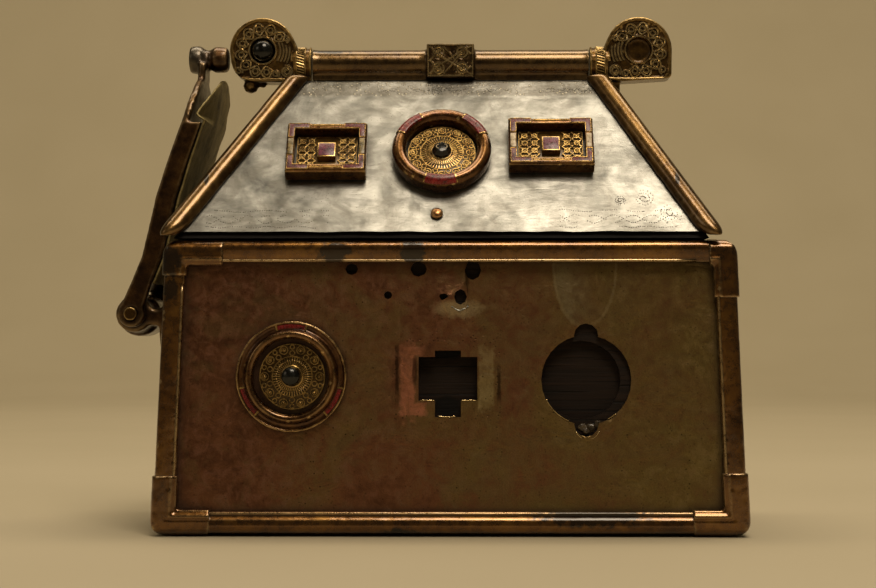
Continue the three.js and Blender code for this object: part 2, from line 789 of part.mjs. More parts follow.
function roofRingMount() {
  const { x, up, radius, wall, height } = roofRing;
  const inside = radius - wall;
  const ring = turned([
    [inside, mountGap],
    [radius - 0.2, mountGap],
    [radius, 1.2],
    [radius, height - 1],
    [radius - 0.45, height - 0.3],
    [radius - 1.2, height],
    [inside + 0.6, height - 0.25],
    [inside, height - 0.9],
  ], 24);
  place('roof_ring', ring.translate(x, up, 0), bronze, slope);
  const disc = filigreeDisc(inside - mountGap, roofFiligree);
  place('roof_ring_panel', disc.translate(x, up, 0), gilt, slope);
  const stud = domeStud(roofFiligree.stud, studSeat, roofFiligree.studHeight, 8);
  place('roof_ring_stud', stud.translate(x, up, 0), glass, slope);
}

function rectMount(side) {
  const { fromRing, up, length, width } = rectMounts[side];
  const x = roofRing.x + sideOf[side] * (roofRing.radius + fromRing + length / 2);
  const outX = length / 2;
  const outY = width / 2;
  const topX = outX - frameStep;
  const topY = outY - frameStep;
  const inX = outX - rectMountWall;
  const inY = outY - rectMountWall;
  const frame = cut(
    join([
      block(-outX, outX, -outY, outY, mountGap, rectMountHeight - frameStep),
      block(-topX, topX, -topY, topY, mountGap, rectMountHeight),
    ]),
    [block(-inX, inX, -inY, inY, -cutMargin, rectMountHeight + cutMargin)],
  );
  place(`roof_${side}_frame`, frame.translate(x, up, 0), bronze, slope);
  const floor = mountGap + panelThickness;
  const edgeX = inX - mountGap;
  const edgeY = inY - mountGap;
  const pieces = [block(-edgeX, edgeX, -edgeY, edgeY, mountGap, floor)];
  const cell = cellSize / 2;
  const rows = 3;
  const step = (2 * (edgeY - wireWidth)) / rows;
  for (const way of [-1, 1]) {
    const near = way * (cell + wireWidth);
    const far = way * (edgeX - wireWidth);
    for (let row = 0; row < rows; row += 1) {
      const low = -edgeY + wireWidth + row * step;
      pieces.push(wireBar(new THREE.Vector2(near, low), new THREE.Vector2(far, low + step), floor));
      pieces.push(wireBar(new THREE.Vector2(near, low + step), new THREE.Vector2(far, low), floor));
    }
  }
  pieces.push(block(-cell, cell, -cell, cell, floor - wireHeight, floor + cellHeight));
  place(`roof_${side}_panel`, join(pieces).translate(x, up, 0), gilt, slope);
}

function roofNail() {
  const { x, up, radius, height } = nail;
  place('roof_nail', domeStud(radius, mountGap, height, 12).translate(x, up, 0), bronze, slope);
}

function boxRingMount() {
  const { x, z, radius, band, bandHeight, wall, height } = boxRing;
  const front = new THREE.Group();
  front.position.set(x, -plateHalfDepth * depthShare(z), z);
  front.rotation.x = Math.PI / 2 - Math.atan2((plateHalfDepth * leanAcross) / boxDepth, boxHeight);
  casket.add(front);
  const inside = radius - band - wall;
  const ring = turned([
    [inside, mountGap],
    [radius, mountGap],
    [radius, bandHeight + 0.3],
    [radius - 0.4, bandHeight + 0.3],
    [radius - 0.5, bandHeight],
    [radius - band, bandHeight],
    [radius - band - 0.1, height - 0.5],
    [radius - band - 0.6, height],
    [inside + 0.4, height - 0.1],
    [inside, height - 0.6],
  ], 24);
  place('box_ring', ring, bronze, front);
  place('box_ring_panel', filigreeDisc(inside - mountGap, boxFiligree), gilt, front);
  const stud = domeStud(boxFiligree.stud, studSeat, boxFiligree.studHeight, 14);
  place('box_ring_stud', stud, glass, front);
}

// Carrying arm, seen from the front. Its outer face runs from the hinge up to the head,
// each point a distance from the pin and a share of the height of the head above the pin.
const armOuter = [
  [-1.5, 0.058],
  [-0.3, 0.11],
  [1.9, 0.22],
  [4.4, 0.442],
  [6.8, 0.594],
  [9.3, 0.739],
  [10.5, 0.842],
  [11.1, 1.03],
].map(([out, share]) => new THREE.Vector2(pivot.x + out, pivot.z + share * armRise));

function shifted(line, distance) {
  return line.map((p) => new THREE.Vector2(p.x + distance, p.y));
}

function armFaceAt(z) {
  const upper = armOuter.findIndex((p) => p.y >= z);
  const [a, b] = [armOuter[upper - 1], armOuter[upper]];
  return a.x + ((b.x - a.x) * (z - a.y)) / (b.y - a.y);
}

// A layer of the arm that follows its outer face between two heights
function armLayer(offset, thickness, foot, top, y0, y1) {
  const between = armOuter.filter((p) => p.y > foot && p.y < top);
  const ends = [foot, top].map((z) => new THREE.Vector2(armFaceAt(z), z));
  const line = [ends[0], ...between, ends[1]];
  return slab([...shifted(line, offset + thickness), ...shifted(line, offset).reverse()], y0, y1);
}

// Seen from the end, the outer plate arches in from both flanks to the neck below the head
function outerPlateView(neckTop) {
  const half = armWidth / 2;
  const neck = neckWidth / 2;
  const outline = new THREE.Shape();
  outline.moveTo(-half, armFoot).lineTo(half, armFoot).lineTo(half, flankTop);
  outline.quadraticCurveTo(half - 1, flankTop + 7, neck, archTop);
  outline.lineTo(neck, neckTop).lineTo(-neck, neckTop).lineTo(-neck, archTop);
  outline.quadraticCurveTo(-half + 1, flankTop + 7, -half, flankTop);
  return slabAlongX(outline, pivot.x - armWidth, 0);
}

// The backing sheet is worn away along its top and its rear edge
function backingView() {
  const half = armWidth / 2;
  const outline = new THREE.Shape();
  outline.moveTo(-half, backingFoot).lineTo(half, backingFoot).lineTo(half, flankTop - 4);
  outline.lineTo(half - 0.9, flankTop - 1.5).lineTo(half - 0.2, flankTop + 1.5);
  outline.lineTo(half - 1.4, flankTop + 4).lineTo(half - 0.6, flankTop + 6.5);
  outline.quadraticCurveTo(half - 3, backingTop, neckWidth / 2, backingTop);
  outline.quadraticCurveTo(-half + 3, backingTop - 2, -half, flankTop + 1);
  return slabAlongX(outline, pivot.x - armWidth, 0);
}

function bobbinHead() {
  const r = bobbinRadius;
  const bobbinLeft = armFaceAt(bobbinHeight) - bobbinStand;
  const bobbinRight = -finialX - finialRadius - mountGap;
  const profile = [
    [0, bobbinLeft], [r - 0.3, bobbinLeft], [r, bobbinLeft + 0.4], [r, bobbinLeft + 2.3],
    [bobbinWaist, bobbinLeft + 3.3], [bobbinWaist, bobbinLeft + 4.1], [r - 0.1, bobbinLeft + 4.9],
    [r - 0.3, bobbinRight - 0.3], [r - 0.7, bobbinRight], [0, bobbinRight],
  ];
  return turned(profile, 12).rotateY(Math.PI / 2).translate(0, 0, bobbinHeight);
}

function armLug(y0, y1) {
  const lug = new THREE.Shape();
  lug.absarc(pivot.x, pivot.z, eyeRadius, Math.PI * 0.95, Math.PI * 2.15);
  lug.lineTo(armFaceAt(lugTop) + flankDepth, lugTop).lineTo(armFaceAt(lugTop), lugTop);
  return slab(lug, y0, y1, 6);
}

function carryingArm() {
  const half = armWidth / 2;
  const neckTop = bobbinHeight - bobbinWaist / 2;
  const plate = armLayer(0, outerPlate, armFoot, neckTop, -half, half);
  const pieces = [common(plate, [outerPlateView(neckTop)]), bobbinHead()];
  for (const [y0, y1] of [[-half, -armInside], [armInside, half]]) {
    pieces.push(armLayer(0, flankDepth, armFoot, flankTop, y0, y1), armLug(y0, y1));
  }
  const bore = rodAlongY(pivot.x, pivot.z, pinRadius + pinClearance, -armWidth, armWidth, 12);
  const knuckleRoom = rodAlongY(
    pivot.x, pivot.z, knuckleSwell + knuckleClearance, -armInside, armInside, 18,
  );
  place('arm_body', cut(join(pieces), [bore, knuckleRoom]), darkBronze);
  const offset = armDepth - backingThickness;
  const sheet = armLayer(offset, backingThickness, backingFoot, backingTop, -half, half);
  place('arm_backing', common(sheet, [backingView()]), backingSheet);
}

// Bracket on the left end: a bowed boss that carries the knuckle between the arm's lugs
function armBracket() {
  const faceAt = (z) => -plateHalfLength * lengthShare(z) - mountGap;
  const middle = (bracketFoot + bracketTop) / 2;
  const boss = new THREE.Shape();
  boss.moveTo(faceAt(bracketFoot), bracketFoot).lineTo(faceAt(bracketTop), bracketTop);
  boss.lineTo(bracketFace + 1.7, bracketTop);
  boss.quadraticCurveTo(bracketFace - 0.9, middle + 2, bracketFace + 2.6, bracketFoot);
  const web = knuckleRadius * 0.6;
  const half = knuckleHalfWidth;
  const body = join([
    slab(boss, -half, half, 6),
    block(pivot.x, bracketFace + 2, -half, half, pivot.z - web, pivot.z + web / 2),
    rodAlongY(pivot.x, pivot.z, knuckleRadius, -half, half, 18),
    rodAlongY(pivot.x, pivot.z, knuckleSwell, -swellLength / 2, swellLength / 2, 18),
  ]);
  const bore = rodAlongY(pivot.x, pivot.z, pinRadius + seatGap, -armWidth, armWidth, 12);
  place('arm_bracket', cut(body, [bore]), darkBronze);
  const shaft = armWidth / 2 + mountGap;
  const pin = join([
    rodAlongY(pivot.x, pivot.z, pinRadius, -shaft, shaft, 12),
    rodAlongY(pivot.x, pivot.z, rivetRadius, -shaft - rivetHeight, -shaft, 12),
    rodAlongY(pivot.x, pivot.z, rivetRadius, shaft, shaft + rivetHeight, 12),
  ]);
  place('arm_pin', pin, bronze);
}

boxCore();
boxPlates();
cornerCaps();
edgeStrips();
lidCore();
roofPlates();
hipStrips();
ridgeBar();
finials();
roofRingMount();
rectMount('left');
rectMount('right');
roofNail();
boxRingMount();
carryingArm();
armBracket();

export default casket;
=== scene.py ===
import math

import bmesh
import bpy
from mathutils import Matrix, Vector, noise


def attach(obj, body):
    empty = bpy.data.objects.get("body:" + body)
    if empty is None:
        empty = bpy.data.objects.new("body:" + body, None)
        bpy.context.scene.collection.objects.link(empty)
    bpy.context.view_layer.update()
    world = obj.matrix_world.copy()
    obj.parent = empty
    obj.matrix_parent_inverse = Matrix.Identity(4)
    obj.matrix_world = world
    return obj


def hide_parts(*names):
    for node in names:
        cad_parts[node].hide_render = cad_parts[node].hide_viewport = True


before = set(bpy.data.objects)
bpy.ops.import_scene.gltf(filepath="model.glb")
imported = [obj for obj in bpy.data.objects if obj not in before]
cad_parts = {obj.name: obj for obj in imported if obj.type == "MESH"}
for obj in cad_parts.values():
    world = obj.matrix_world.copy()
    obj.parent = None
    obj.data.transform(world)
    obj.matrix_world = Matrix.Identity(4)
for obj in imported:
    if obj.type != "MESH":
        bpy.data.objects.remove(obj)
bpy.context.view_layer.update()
# Without a seed, noise_vector gives other values at each run
noise.seed_set(1)

# House-shaped reliquary casket. Shapes are worked out in millimetres and end in metres.
MM = 0.001

# Sizes taken over from the solids
LEAN_LENGTH = 4.4 / 108 / 53.4
LEAN_DEPTH = 2.4 / 51 / 53.4
PLATE_FACE = 22.85
ROOF_FOOT = Vector((0, -23.5, 54.6))
ROOF_SLOPE = math.atan2(30.4, 20.5)
ROOF_REACH = math.hypot(30.4, 20.5)
FINIAL_X = 36.2
FINIAL_Z = 91
FINIAL_FLOOR = 2.05
BLOCK_Z = 88.8
RIDGE_Z = 88.65
RIDGE_RADIUS = 2.75
RIDGE_HALF = 26.6
BLOCK_HALF = 4.6
EDGE = (53.55, 25.05, 26.25)
EDGE_MIDDLE = 26.7
STRIP_WIDTH = 3.72
CAP_STAND = 0.45
OPENING = (24.6, 28)


# Meshes
def depth_share(z):
    return 1 - LEAN_DEPTH * z


def length_share(z):
    return 1 - LEAN_LENGTH * z


def joined(parts):
    whole = bmesh.new()
    for part in parts:
        mesh = bpy.data.meshes.new("part")
        part.to_mesh(mesh)
        part.free()
        whole.from_mesh(mesh)
        bpy.data.meshes.remove(mesh)
    return whole


def moved(bm, place):
    bmesh.ops.transform(bm, matrix=place, verts=bm.verts)
    return bm


def outward(bm):
    bmesh.ops.remove_doubles(bm, verts=bm.verts, dist=0.001)
    bmesh.ops.recalc_face_normals(bm, faces=bm.faces)
    return bm


def evaluated(obj):
    """The mesh of an object with its modifiers or bevel, and the object removed"""
    bpy.context.scene.collection.objects.link(obj)
    graph = bpy.context.evaluated_depsgraph_get()
    result = bmesh.new()
    shaped = obj.evaluated_get(graph)
    result.from_mesh(shaped.to_mesh())
    shaped.to_mesh_clear()
    bpy.data.objects.remove(obj)
    return result


def placed(name, data):
    obj = bpy.data.objects.new(name, data)
    bpy.context.scene.collection.objects.link(obj)
    return obj


def finished(name, bm, material, body="casket", nodes=(), angle=40):
    """Turns a mesh in millimetres into a piece of the object"""
    bmesh.ops.scale(bm, vec=(MM, MM, MM), verts=bm.verts)
    mesh = bpy.data.meshes.new(name)
    bm.to_mesh(mesh)
    bm.free()
    mesh.materials.append(material)
    obj = placed(name, mesh)
    mesh.shade_smooth()
    if angle < 180:
        mesh.set_sharp_from_angle(angle=math.radians(angle))
    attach(obj, body)
    if nodes:
        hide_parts(*nodes)
    return obj


def repaint(material, *nodes):
    """Gives solids that stay as they are another material"""
    for node in nodes:
        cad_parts[node].data.materials[0] = material


def node_copy(node):
    """A welded copy of a solid, in millimetres"""
    bm = bmesh.new()
    bm.from_mesh(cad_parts[node].data)
    bmesh.ops.scale(bm, vec=(1 / MM, 1 / MM, 1 / MM), verts=bm.verts)
    bmesh.ops.remove_doubles(bm, verts=bm.verts, dist=0.002)
    return bm


def remeshed(bm, voxel):
    mesh = bpy.data.meshes.new("blank")
    bm.to_mesh(mesh)
    bm.free()
    blank = bpy.data.objects.new("blank", mesh)
    modifier = blank.modifiers.new("Remesh", "REMESH")
    modifier.mode = "VOXEL"
    modifier.voxel_size = voxel
    fine = evaluated(blank)
    bpy.data.meshes.remove(mesh)
    return fine


def smoothed(bm, rounds):
    for _ in range(rounds):
        bmesh.ops.smooth_vert(
            bm, verts=bm.verts, factor=0.5, use_axis_x=True, use_axis_y=True, use_axis_z=True
        )
    return bm


def uneven(x, y, z, size=1.0):
    """A soft random value from -1 to 1, the same at each run"""
    return noise.noise(Vector((x, y, z)) / size)


def worn(bm, depth, size):
    """Sinks soft hollows and small nicks into a surface; nothing rises above it"""
    bm.normal_update()
    for vert in bm.verts:
        broad = noise.noise(vert.co / size)
        fine = noise.noise(vert.co * 3 / size + Vector((7, 3, 1)))
        sink = depth * (0.5 + 0.5 * broad) + 0.5 * depth * max(0.0, fine)
        vert.co -= vert.normal * sink
    return bm


def softened(node, voxel, rounds):
    return smoothed(remeshed(node_copy(node), voxel), rounds)


def cast(node, bm, material, body="casket"):
    """Turns a mesh into the smooth casting that takes the place of a solid"""
    finished(f"{node}_cast", bm, material, body, [node], angle=180)


def cast_copy(node, material, voxel, rounds, depth, size, body="casket"):
    """A node's solid with the rounded edges and small hollows of an old casting"""
    cast(node, worn(softened(node, voxel, rounds), depth, size), material, body)


def true_round(bm, place, sides):
    """Moves the facets of a turned solid out to the circle through its corners"""
    moved(bm, place.inverted())
    step = 2 * math.pi / sides
    for vert in bm.verts:
        angle = math.atan2(vert.co.y, vert.co.x) % step - step / 2
        share = math.cos(angle) / math.cos(step / 2)
        vert.co.x *= share
        vert.co.y *= share
    return moved(bm, place)


def turned(profile, steps):
    """A profile of radius and height, turned about the local Z axis"""
    bm = bmesh.new()
    line = [bm.verts.new((radius, 0, height)) for radius, height in profile]
    edges = [bm.edges.new(pair) for pair in zip(line, line[1:])]
    bmesh.ops.spin(
        bm, geom=line + edges, cent=(0, 0, 0), axis=(0, 0, 1), dvec=(0, 0, 0),
        angle=2 * math.pi, steps=steps, use_merge=True, use_duplicate=False,
    )
    return outward(bm)


def arc_patch(profile, start, sweep, steps):
    """A closed profile of radius and height, turned through part of a circle"""
    bm = bmesh.new()
    corners = [bm.verts.new((radius, 0, height)) for radius, height in profile]
    face = bm.faces.new(corners)
    bmesh.ops.rotate(
        bm, verts=bm.verts, cent=(0, 0, 0), matrix=Matrix.Rotation(math.radians(start), 3, "Z")
    )
    bmesh.ops.spin(
        bm, geom=[face] + list(face.edges) + corners, cent=(0, 0, 0), axis=(0, 0, 1),
        dvec=(0, 0, 0), angle=math.radians(sweep), steps=steps, use_merge=False,
        use_duplicate=False,
    )
    return outward(bm)


def slab(outline, low, high, bevel):
    """An outline on the local XY plane, raised between two heights, its upper edge bevelled"""
    bm = bmesh.new()
    face = bm.faces.new([bm.verts.new((x, y, low)) for x, y in outline])
    raised = bmesh.ops.extrude_face_region(bm, geom=[face])
    top = [item for item in raised["geom"] if isinstance(item, bmesh.types.BMVert)]
    bmesh.ops.translate(bm, verts=top, vec=(0, 0, high - low))
    outward(bm)
    edges = [edge for edge in bm.edges if all(vert in top for vert in edge.verts)]
    bmesh.ops.bevel(
        bm, geom=edges, offset=bevel, offset_type="OFFSET", segments=2,
        profile=0.5, affect="EDGES", material=-1, clamp_overlap=True,
    )
    return bm


def wires(runs, radius, rounding=1):
    """Round wires along runs of points, each run open or closed"""
    curve = bpy.data.curves.new("wires", "CURVE")
    curve.dimensions = "3D"
    curve.bevel_depth = radius
    curve.bevel_resolution = rounding
    curve.use_fill_caps = True
    for line, closed in runs:
        spline = curve.splines.new("POLY")
        spline.points.add(len(line) - 1)
        for spot, point in zip(spline.points, line):
            spot.co = (point[0], point[1], point[2], 1)
        spline.use_cyclic_u = closed
    result = outward(evaluated(bpy.data.objects.new("wires", curve)))
    bpy.data.curves.remove(curve)
    return result


def around(angle, radius=1.0, x=0.0, y=0.0):
    """A place on a circle"""
    return x + radius * math.cos(angle), y + radius * math.sin(angle)


def circle(x, y, height, radius, steps):
    """A closed run for wires"""
    angles = [2 * math.pi * i / steps for i in range(steps)]
    return [(*around(angle, radius, x, y), height) for angle in angles], True


def beads(spots, radius, detail=1):
    """Small round beads at given points"""
    bm = bmesh.new()
    for spot in spots:
        bmesh.ops.create_icosphere(
            bm, subdivisions=detail, radius=radius, matrix=Matrix.Translation(spot)
        )
    return bm


# Places of the mounts, as matrices from their own plane to the object
SLOPE = Matrix.Translation(ROOF_FOOT) @ Matrix.Rotation(ROOF_SLOPE, 4, "X")
BACK_SLOPE = Matrix.Rotation(math.pi, 4, "Z") @ SLOPE
SLOPE_START = (Matrix.Rotation(-ROOF_SLOPE, 3, "X") @ ROOF_FOOT).y
ROOF_MOUNT = SLOPE @ Matrix.Translation((-1.5, 17.75, 0))
ROOF_NAIL = SLOPE @ Matrix.Translation((-2.3, 4, 0))
BOX_MOUNT = Vector((-28.5, -PLATE_FACE * depth_share(28.6), 28.6))
BOX_TILT = math.pi / 2 - math.atan(PLATE_FACE * LEAN_DEPTH)
BOX_FRONT = Matrix.Translation(BOX_MOUNT) @ Matrix.Rotation(BOX_TILT, 4, "X")
UPRIGHT = Matrix.Rotation(math.pi / 2, 4, "X")


# Materials
# The colour sockets of a Mix node, which share their names with its other sockets
COLOUR_A, COLOUR_B, COLOUR_RESULT = 6, 7, 2


def colour(text):
    """A colour written as six hexadecimal digits, as linear values"""
    channels = [int(text[i:i + 2], 16) / 255 for i in (0, 2, 4)]
    linear = [c / 12.92 if c <= 0.04045 else ((c + 0.055) / 1.055) ** 2.4 for c in channels]
    return (*linear, 1)


class Finish:
    """A node material whose patterns lie in millimetres of the object's own coordinates"""

    def __init__(self, name):
        self.material = bpy.data.materials.new(name)
        self.material.use_nodes = True
        self.nodes = self.material.node_tree.nodes
        self.links = self.material.node_tree.links
        self.shader = self.nodes["Principled BSDF"]
        own = self.node("TexCoord").outputs["Object"]
        self.place = self.mapped(own, scale=(1 / MM, 1 / MM, 1 / MM))
        self.tint = None
        self.layers = []

    def feed(self, socket, value):
        if isinstance(value, bpy.types.NodeSocket):
            self.links.new(value, socket)
        else:
            socket.default_value = value

    def node(self, kind, **values):
        """A node with its inputs set or linked, each named by its label with _ for a space"""
        node = self.nodes.new(f"ShaderNode{kind}")
        for label, value in values.items():
            self.feed(node.inputs[label.replace("_", " ")], value)
        return node

    def mapped(self, vector, scale=(1, 1, 1), turn=(0, 0, 0), shift=(0, 0, 0)):
        node = self.node("Mapping", Vector=vector, Location=shift, Rotation=turn, Scale=scale)
        return node.outputs["Vector"]

    def noise(self, scale, detail=3, roughness=0.55, stretch=(1, 1, 1), distortion=0.0,
              shift=(0, 0, 0)):
        vector = self.mapped(self.place, scale=stretch, shift=shift)
        return self.node(
            "TexNoise", Vector=vector, Scale=scale, Detail=detail, Roughness=roughness,
            Distortion=distortion,
        ).outputs["Fac"]

    def cells(self, scale, vector=None, randomness=1.0):
        return self.node(
            "TexVoronoi", Vector=vector or self.place, Scale=scale, Randomness=randomness
        ).outputs["Distance"]

    def math(self, operation, first, second=0.0, clamp=False):
        node = self.node("Math")
        node.operation = operation
        node.use_clamp = clamp
        self.feed(node.inputs[0], first)
        self.feed(node.inputs[1], second)
        return node.outputs[0]

    def times(self, first, second, clamp=False):
        return self.math("MULTIPLY", first, second, clamp)

    def plus(self, first, second, clamp=False):
        return self.math("ADD", first, second, clamp)

    def minus(self, first, second, clamp=False):
        return self.math("SUBTRACT", first, second, clamp)

    def blend(self, first, share, second, other):
        """Two patterns added in given shares"""
        return self.plus(self.times(first, share), self.times(second, other))

    def span(self, value, low, high, start=0.0, end=1.0):
        """Maps a value from one span to another, held at both ends"""
        return self.node(
            "MapRange", Value=value, From_Min=low, From_Max=high, To_Min=start, To_Max=end
        ).outputs["Result"]

    def ramp(self, value, stops):
        node = self.node("ValToRGB", Fac=value)
        elements = node.color_ramp.elements
        while len(elements) < len(stops):
            elements.new(0.5)
        for element, (position, tint) in zip(elements, stops):
            element.position = position
            element.color = colour(tint)
        return node.outputs["Color"]

    def over(self, other, where, strength=None):
        """Lays another colour over the tint so far, where a pattern is"""
        if strength is not None:
            where = self.times(where, strength)
        node = self.node("Mix", Factor=where)
        node.data_type = "RGBA"
        self.feed(node.inputs[COLOUR_A], self.tint)
        self.feed(node.inputs[COLOUR_B], colour(other))
        self.tint = node.outputs[COLOUR_RESULT]

    def axis(self, name, vector=None):
        return self.node("SeparateXYZ", Vector=vector or self.place).outputs[name]

    def measure(self, operation, vector):
        node = self.node("VectorMath", Vector=vector)
        node.operation = operation
        return node

    def length(self, vector):
        return self.measure("LENGTH", vector).outputs["Value"]

    def patch(self, centre, reach, softness=0.15, ragged=0.0, square=False):
        """1 inside a spot with given half sizes, 0 outside, with a ragged edge if wanted"""
        scale = tuple(1 / r for r in reach)
        shift = tuple(-c / r for c, r in zip(centre, reach))
        local = self.mapped(self.place, scale=scale, shift=shift)
        if square:
            sides = self.measure("ABSOLUTE", local).outputs["Vector"]
            far = self.most([self.axis(name, sides) for name in "XYZ"])
        else:
            far = self.length(local)
        if ragged:
            wobble = self.times(self.minus(self.noise(0.9, 4), 0.5), ragged)
            far = self.plus(far, wobble)
        return self.span(far, 1 - softness, 1 + softness, 1.0, 0.0)

    def most(self, values):
        result = values[0]
        for value in values[1:]:
            result = self.math("MAXIMUM", result, value)
        return result

    def shade(self, distance):
        """How open a point is to its surroundings, 0 in a deep corner"""
        node = self.node("AmbientOcclusion", Distance=distance * MM)
        node.samples = 6
        return node.outputs["AO"]

    def bump(self, height, distance, strength=1.0):
        node = self.node("Bump", Height=height, Distance=distance * MM, Strength=strength)
        if self.layers:
            self.feed(node.inputs["Normal"], self.layers[-1])
        self.layers.append(node.outputs["Normal"])
        self.feed(self.shader.inputs["Normal"], node.outputs["Normal"])

    def finish(self, metallic, roughness, **others):
        self.feed(self.shader.inputs["Base Color"], self.tint)
        self.feed(self.shader.inputs["Metallic"], metallic)
        self.feed(self.shader.inputs["Roughness"], roughness)
        for label, value in others.items():
            self.shader.inputs[label.replace("_", " ")].default_value = value
        return self.material


def aged_metal(name, tones, roughness, edge, dirt_and_shade, stains=(), pits=0.3, grit=1.0, coat=0.4,
               wear_and_highlight=0.75, grey=None):
    """Old metal: uneven tone, bright rubbed edges that are partly a painted highlight, dirt and
    painted shade in its corners, pits and fine scratches
    """
    f = Finish(name)
    broad = f.noise(0.11, 3)
    middle = f.noise(0.7, 4, 0.6, shift=(3, 1, 5))
    grain = f.noise(5.0, 3, 0.6)
    tone = f.blend(broad, 0.6, middle, 0.4)
    f.tint = f.ramp(tone, list(zip((0.34, 0.46, 0.55, 0.66), tones)))
    f.over(dirt_and_shade, f.span(grain, 0.35, 0.7, 0.0, 0.35 * grit))
    point = f.node("NewGeometry").outputs["Pointiness"]
    # Pale edge colour on convex edges: partly rubbed wear, partly a painted highlight
    wear_and_highlight_mask = f.times(f.span(point, 0.51, 0.56), f.span(middle, 0.3, 0.6, 0.35, 1.0))
    f.over(edge, wear_and_highlight_mask, wear_and_highlight)
    # Painted shade from the occlusion term in corners and crevices, together with crevice dirt from
    # concave pointiness
    corner = f.most([f.span(point, 0.49, 0.44), f.span(f.shade(1.6), 0.75, 0.3)])
    corner = f.times(corner, f.span(grain, 0.2, 0.6, 0.6, 1.0), clamp=True)
    f.over(dirt_and_shade, corner, 0.8)
    rough = f.span(f.plus(middle, f.times(grain, 0.4)), 0.4, 0.95, *roughness)
    rough = f.plus(rough, f.times(corner, 0.25), clamp=True)
    metal = f.span(corner, 0.0, 1.0, 1.0, 0.55)
    if stains:
        stained = f.most([f.patch(centre, reach, 0.2, 1.6) for centre, reach in stains])
        f.over("171009", stained, 0.9)
        rough = f.plus(rough, f.times(stained, 0.25), clamp=True)
    if grey:
        f.over("55524a", f.patch(*grey, 0.2, 0.3), 0.8)
    scratch = f.noise(2.2, 2, 0.5, stretch=(0.15, 4, 4), distortion=0.3)
    hollow = f.span(f.cells(1.3), 0.0, 0.28, -1.0, 0.0)
    hollow = f.times(hollow, f.span(f.noise(0.5, 2, shift=(9, 2, 4)), 0.5, 0.62))
    height = f.blend(grain, 0.35, scratch, 0.4)
    height = f.plus(height, f.times(hollow, pits * 3))
    f.bump(f.noise(0.35, 2), 0.1, 0.4)
    f.bump(height, 0.05, 0.7 * grit)
    return f.finish(metal, rough, Coat_Weight=coat, Coat_Roughness=0.16)


STAINS = [
    ((-21, -25, 50.6), (2.6, 6, 2.2)),
    ((-20.5, -25, 51.5), (3.4, 6, 1.0)),
    ((-6.6, -25, 51), (2.3, 6, 2.4)),
    ((25.5, -26, 3.6), (10.5, 4, 1.6)),
    ((-9, -26, 0.6), (3.2, 4, 0.9)),
    ((-51, -25, 49.4), (3.0, 7, 2.8)),
    ((-50.3, -25, 44.3), (1.7, 6, 2.0)),
    ((53, -24, 28.2), (0.9, 3, 0.9)),
]
BRONZE = aged_metal(
    "warm_bronze", ("4a2e10", "644117", "744e1c", "845d24"), (0.2, 0.36),
    "e0c897", "26190d", stains=STAINS, grit=0.25, coat=1.0, wear_and_highlight=0.5,
)
HIP_BRONZE = aged_metal(
    "rubbed_bronze", ("473119", "634925", "775b31", "8b6d3f"), (0.24, 0.4), "dcc69c", "281a0e",
    grit=0.15, coat=0.7, wear_and_highlight=0.12, stains=[
        ((-44.5, -18, 64.6), (0.4, 6, 1.2)), ((41.5, -18, 64.4), (0.4, 6, 1.2)),
    ],
)
RIDGE_BRONZE = aged_metal(
    "brown_bronze", ("3c2915", "503b1e", "5f4928", "6e5634"), (0.2, 0.36), "d8c294", "20140a",
    grit=0.15, coat=0.7, wear_and_highlight=0.15, stains=[((-23.2, -1, 91.3), (3.6, 4, 0.9))],
)
CARVED_BRONZE = aged_metal(
    "carved_bronze", ("3b2812", "533c1a", "6b4f24", "80632f"), (0.24, 0.42), "d8b878", "130b06",
)
RELIEF = aged_metal(
    "rubbed_relief", ("654a22", "836331", "a17e42", "b89252"), (0.16, 0.3), "f0d8a0", "1a1007",
    grit=0.3, coat=0.9,
)
RING_BRONZE = aged_metal(
    "red_ring_bronze", ("3e220f", "5a3819", "704a23", "865f30"), (0.2, 0.36), "e0bf84", "150c06",
    grit=0.5, coat=0.6,
)
ARM_BRONZE = aged_metal(
    "dark_arm_bronze", ("2a1c10", "3d2917", "51381f", "654b2a"), (0.28, 0.46), "a58c66", "120c08",
    grey=((-56, 0, 93), (9, 14, 8.5)),
)
GILT = aged_metal(
    "gilt_wire", ("4e330d", "6c4b1b", "87672b", "a07f3e"), (0.18, 0.34), "e4c078", "160c04",
    wear_and_highlight=0.5, coat=0.8,
)
GILT_FLOOR = aged_metal(
    "gilt_floor", ("160c04", "221506", "30200b", "3d2a10"), (0.34, 0.55), "6c5228", "0c0602",
)
COPPER = aged_metal(
    "copper_nail", ("7c5030", "a3703f", "b88350", "c99665"), (0.22, 0.36), "e8c090", "3a2412",
)


